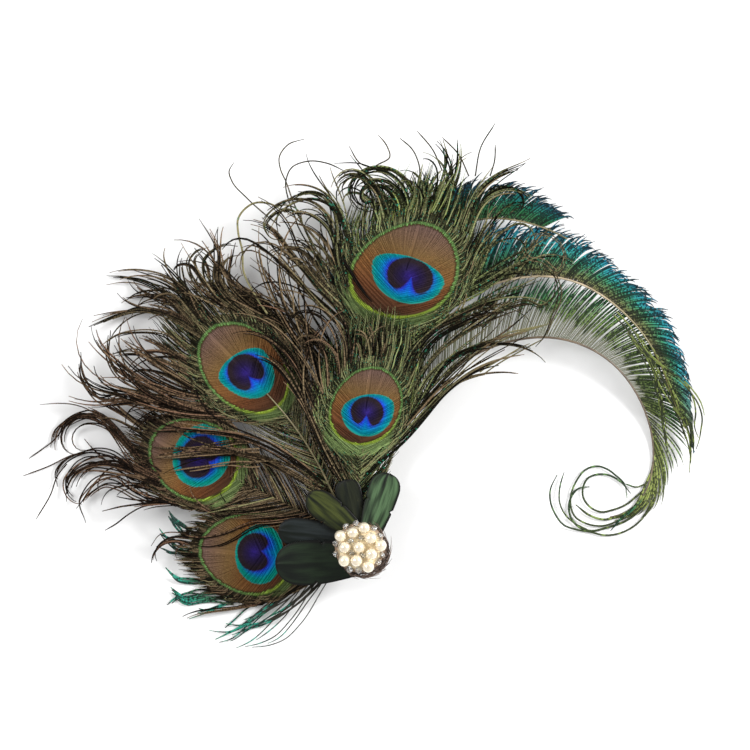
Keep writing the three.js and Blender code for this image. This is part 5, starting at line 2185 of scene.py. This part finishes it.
SWORD_FEATHERS = (
    SwordFeather(
        "sword_feather_long", layer=0, foot=(4, 5), length=209,
        headings=(78, 74, 66, 43, 26, 5, -24, -53, -76, -107, -172),
        rows=(
            VaneRow(0.24, 40, 14, 0.85), VaneRow(0.42, 56, 26, 0.75), VaneRow(0.54, 60, 27, 0.3),
            VaneRow(0.62, 62, 27, 0.2), VaneRow(0.72, 48, 19, 0.15, 0.3), VaneRow(0.80, 22, 24, -0.2, 0.8),
            VaneRow(0.92, 7, 20, -0.2, 1.0),
        ),
        locks=(Lock(0.86, 30, 0, 3, (-94, -112, -134, -150), 0.95),),
        finish=SwordFinish(
            "sword_long",
            (
                (0.0, srgb(88, 94, 58)), (0.45, srgb(98, 122, 66)), (0.75, srgb(56, 108, 66)),
                (1.0, srgb(36, 80, 66)),
            ),
            shade_stroke=0.8, end_at=0.78, end=srgb(130, 141, 76), stalk=srgb(108, 110, 88),
        ),
        quill_finish=DARK_QUILL, spacing=0.5, blade=0.3, stalk=0.16, gather=0.25, bow=9.0, hook=6.0,
        drift=1.8, sparse_from=0.76, sparse=2.4,
        wisps=(
            Wisp(((113.6, 20.5), (110.4, 13.9), (105.8, 8.1), (100, 4.8), (93.4, 3.8), (87.7, 5.1),
                  (82, 6.1), (77.8, 7.7), (74.5, 11.9), (72.6, 17.2), (72.6, 21), (75.3, 27)), 0.76, 0.36),
            Wisp(((88, 5.3), (81.1, 9), (78.2, 11.9), (76.3, 16), (76.1, 20.5), (77, 25),
                  (78, 28)), 0.76, 0.3),
            Wisp(((110.4, 17.2), (105.8, 12.2), (101, 9), (94.3, 6.7), (87.7, 5.5), (83.1, 7.3),
                  (80.5, 10.6), (79.8, 14.7), (81.1, 19.3), (83.6, 21.7), (87.7, 22.3)), 0.76, 0.42),
            Wisp(((109.5, 17.5), (104, 12), (98.5, 9.2), (93, 7.4), (86, 8.4), (82, 11), (80.5, 14.7),
                  (80.7, 19.7), (82.7, 24.6), (86, 28.7), (90.1, 30.2), (94.3, 29.1), (97.6, 26.7),
                  (101, 23.4), (102, 18)), 0.76, 0.36),
            Wisp(((109.1, 21.7), (105.8, 18.8), (101.7, 15.5), (96.7, 13.5), (91.8, 12.7), (87.7, 14.7),
                  (85.2, 18.4), (85.2, 22.2), (87, 25.5), (91, 27.1), (95.1, 26.7), (100, 23.8),
                  (103.4, 19.7)), 0.76, 0.38),
            Wisp(((110, 20.5), (103.7, 13.9), (98.4, 11), (93.4, 9.8), (87.7, 11.4),
                  (82.3, 15.5)), 0.8, 0.42),
            Wisp(((109.1, 23.4), (105.8, 22.2), (101.3, 23.4)), 0.76, 0.3),
        ),
        seed=21,
    ),
    SwordFeather(
        "sword_feather_middle", layer=1, foot=(3, 7), length=214,
        headings=(80, 80, 77, 66, 44, 22, 0, -31, -50, -70, -66),
        rows=(
            VaneRow(0.34, 36, 22), VaneRow(0.50, 46, 30), VaneRow(0.58, 51, 23), VaneRow(0.66, 56, 16),
            VaneRow(0.80, 44, 15), VaneRow(0.89, 34, 14), VaneRow(0.97, 20, 9),
        ),
        locks=(
            Lock(0.84, 40, 0, 5, (-56, -62, -68, -78, -88), 2.0),
            Lock(0.91, 32, 0, 5, (-60, -64, -74, -86), 1.6),
        ),
        finish=SwordFinish(
            "sword_middle",
            (
                (0.0, srgb(112, 102, 70)), (0.2, srgb(98, 114, 72)), (0.42, srgb(56, 124, 90)),
                (0.66, srgb(42, 138, 142)), (0.86, srgb(34, 100, 124)), (1.0, srgb(28, 52, 72)),
            ),
            shade_stroke=0.88, end_at=0.93, end=srgb(104, 116, 58),
        ),
        quill_finish=PALE_QUILL, spacing=0.36, blade=0.35, gather=0.4, hook=40.0,
        wisps=(
            Wisp(((96.3, 88.4), (102.6, 81.2), (108.1, 74.3), (115, 68.7), (121.5, 63.7), (126.1, 58.6),
                  (129.1, 53.5), (130.3, 48.5), (129.8, 43.8), (129.1, 39.7),
                  (128.1, 36.7)), 1.0, 0.3, 2, 0.5, tone=0.8),
            Wisp(((101, 81), (109, 71.5), (116.9, 67.3), (123.3, 61.8), (126.5, 56.3), (127.6, 50.8),
                  (127.3, 45.3), (128.8, 41.1)), 1.0, 0.3, tone=0.7),
            Wisp(((103, 81), (108.1, 74.3), (111.8, 66.9), (115.9, 59.5), (120.1, 53.5), (123.8, 48),
                  (125.9, 42), (126.3, 36), (125.9, 27.7)), 1.0, 0.32, 4, 1.0, tone=0.6),
            Wisp(((102, 82), (107.7, 72.9), (110.9, 66.9), (112.7, 61.4), (114.3, 54.5), (115.5, 47.1),
                  (116.9, 40.7), (118, 33.7)), 1.0, 0.3, 4, 0.9, tone=0.65),
        ),
        seed=22,
    ),
    SwordFeather(
        "sword_feather_upper", layer=2, foot=(1, 7), length=166,
        headings=(82, 82, 80, 74, 52, -3, -30),
        rows=(
            VaneRow(0.40, 34, 40), VaneRow(0.60, 44, 34), VaneRow(0.74, 50, 21), VaneRow(0.86, 48, 17),
            VaneRow(0.94, 42, 12),
        ),
        locks=(Lock(0.34, 62, 0, 6, (118, 114, 116, 112), 0.4),),
        finish=SwordFinish(
            "sword_upper",
            (
                (0.0, srgb(58, 96, 54)), (0.3, srgb(38, 104, 66)), (0.55, srgb(28, 112, 102)),
                (0.75, srgb(28, 80, 98)), (1.0, srgb(22, 38, 56)),
            ),
            shade_stroke=0.9,
        ),
        quill_finish=OLIVE_QUILL, spacing=0.44, blade=0.34, gather=0.4, hook=40.0, seed=23,
    ),
    SwordFeather(
        "sword_feather_short", layer=0, foot=(-1, -3.5), length=63,
        headings=(188, 182, 172),
        rows=(VaneRow(0.30, 40, 14, 0.5), VaneRow(0.60, 36, 17, 0.4), VaneRow(0.80, 26, 12, 0.3)),
        locks=(
            Lock(0.10, 58, 0.7, 3, (234, 224, 210, 194), 0.3),
            Lock(0.24, 54, 0.65, 3, (236, 222, 206, 192), 0.3),
            Lock(0.40, 46, 0.6, 3, (230, 214, 200, 190), 0.3),
            Lock(0.96, 22, 0.1, 3, (160, 140, 118), 0.3),
        ),
        finish=SwordFinish(
            "sword_short",
            (
                (0.0, srgb(90, 90, 70)), (0.5, srgb(52, 112, 84)), (0.8, srgb(44, 140, 122)),
                (1.0, srgb(40, 110, 80)),
            ),
            shade_stroke=0.9, stalk=srgb(44, 42, 34),
        ),
        quill_finish=DARK_QUILL, spacing=1.2, blade=0.32, stalk=0.1,
        wisps=(
            Wisp(((-60, 2), (-67.8, 6.8), (-70.8, 9.8), (-73, 13.3)), radius=0.42, strands=5, spread=1.5),
            Wisp(((-63, -3), (-70, 0.6), (-73.4, 2.8), (-76.1, 4.6)), radius=0.4, strands=3, spread=0.9),
            Wisp(((-64, -4), (-68.6, -2.8), (-72.6, -2.4),
                  (-76.1, -1.1)), radius=0.36, strands=2, spread=0.5),
            Wisp(((-54, -13), (-64.7, -13.7), (-69.1, -13.3), (-72.1, -11.1),
                  (-74.3, -8.5)), radius=0.4, strands=3, spread=0.8),
            Wisp(((-48.1, -20.7), (-56, -19.8), (-61.2, -20.3), (-66.5, -21.2), (-70, -19.4),
                  (-73, -16.8)), radius=0.4, strands=7, spread=1.8),
            Wisp(((-56.9, -17.7), (-63, -18.5), (-68.6, -19.4),
                  (-73.4, -23.3)), radius=0.36, strands=3, spread=0.8),
            Wisp(((-41.6, -22), (-48.1, -23.8), (-55.1, -25.1), (-59, -24.9),
                  (-61.7, -24.2)), radius=0.36, bare=0.3),
            Wisp(((-38.1, -21.2), (-43.3, -24.2), (-48.1, -28.6), (-51.6, -31.6)), radius=0.34, bare=0.3),
            Wisp(((-21.6, -13.3), (-28, -18), (-39.4, -26.4), (-45.1, -31.2), (-50.3, -33.4),
                  (-54.2, -33.4), (-57.7, -32.9)), radius=0.24, strands=2, spread=0.6, bare=0.6),
            Wisp(((-20, -12.7), (-26, -18), (-37.2, -27.7), (-43.8, -32.5), (-49, -36),
                  (-53.8, -37.3)), radius=0.26, strands=3, spread=1.0, bare=0.5),
            Wisp(((-18, -11.5), (-24, -19), (-30.7, -27.7), (-35.9, -32.9), (-41.6, -36.9),
                  (-47.3, -39.5)), radius=0.22, strands=2, spread=0.9, bare=0.7),
            Wisp(((-13.5, -10.5), (-18, -17), (-26.3, -29.4), (-31.6, -34.7), (-38.1, -37.7),
                  (-43.8, -39)), radius=0.22, strands=2, spread=0.8, bare=0.75),
            Wisp(((-10, -9.5), (-14, -16), (-22.8, -29.9), (-28.5, -35.5), (-35.1, -38.2),
                  (-41.2, -39)), radius=0.2, bare=0.85),
        ),
        seed=24,
    ),
)

# Rows of pads give number, foot, heading, length, width, layer and the colour of the middle.
PAD_FEATHERS = (
    PadFeather(1, (-2, -5), 183, 30, 17, 7, srgb(27, 38, 25)),
    PadFeather(2, (-4, 3.5), 174, 27, 11, 6, srgb(29, 34, 35), shoulder=0.7),
    PadFeather(3, (-3, 7), 142, 21, 11, 7, srgb(60, 66, 30)),
    PadFeather(4, (-1, 7), 104, 19, 10, 6, srgb(30, 33, 21), shoulder=0.75),
    PadFeather(5, (4, 6), 72, 23, 12, 7, srgb(76, 100, 70), shoulder=0.7),
)


def main() -> None:
    """Builds every piece in order and works out the bounding boxes of the solids and of the dressed clip."""
    logging.basicConfig(level=logging.INFO, format="%(message)s")
    sweep = StrandSweep()
    HairClip().build()
    for feather in SWORD_FEATHERS:
        feather.build(sweep)
    quill_paint = OLIVE_QUILL.dress()
    for feather in EYE_FEATHERS:
        feather.build(sweep, quill_paint)
    for pad in PAD_FEATHERS:
        pad.build()
    DownRuff().build(sweep)
    Brooch().build(BeadScatter())
    Studio().build()
    boxes = {"cad": CAD_BOX, "visual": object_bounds()}
    {name: [list(corner) for corner in box] for name, box in boxes.items()}


if __name__ == "__main__":
    main()
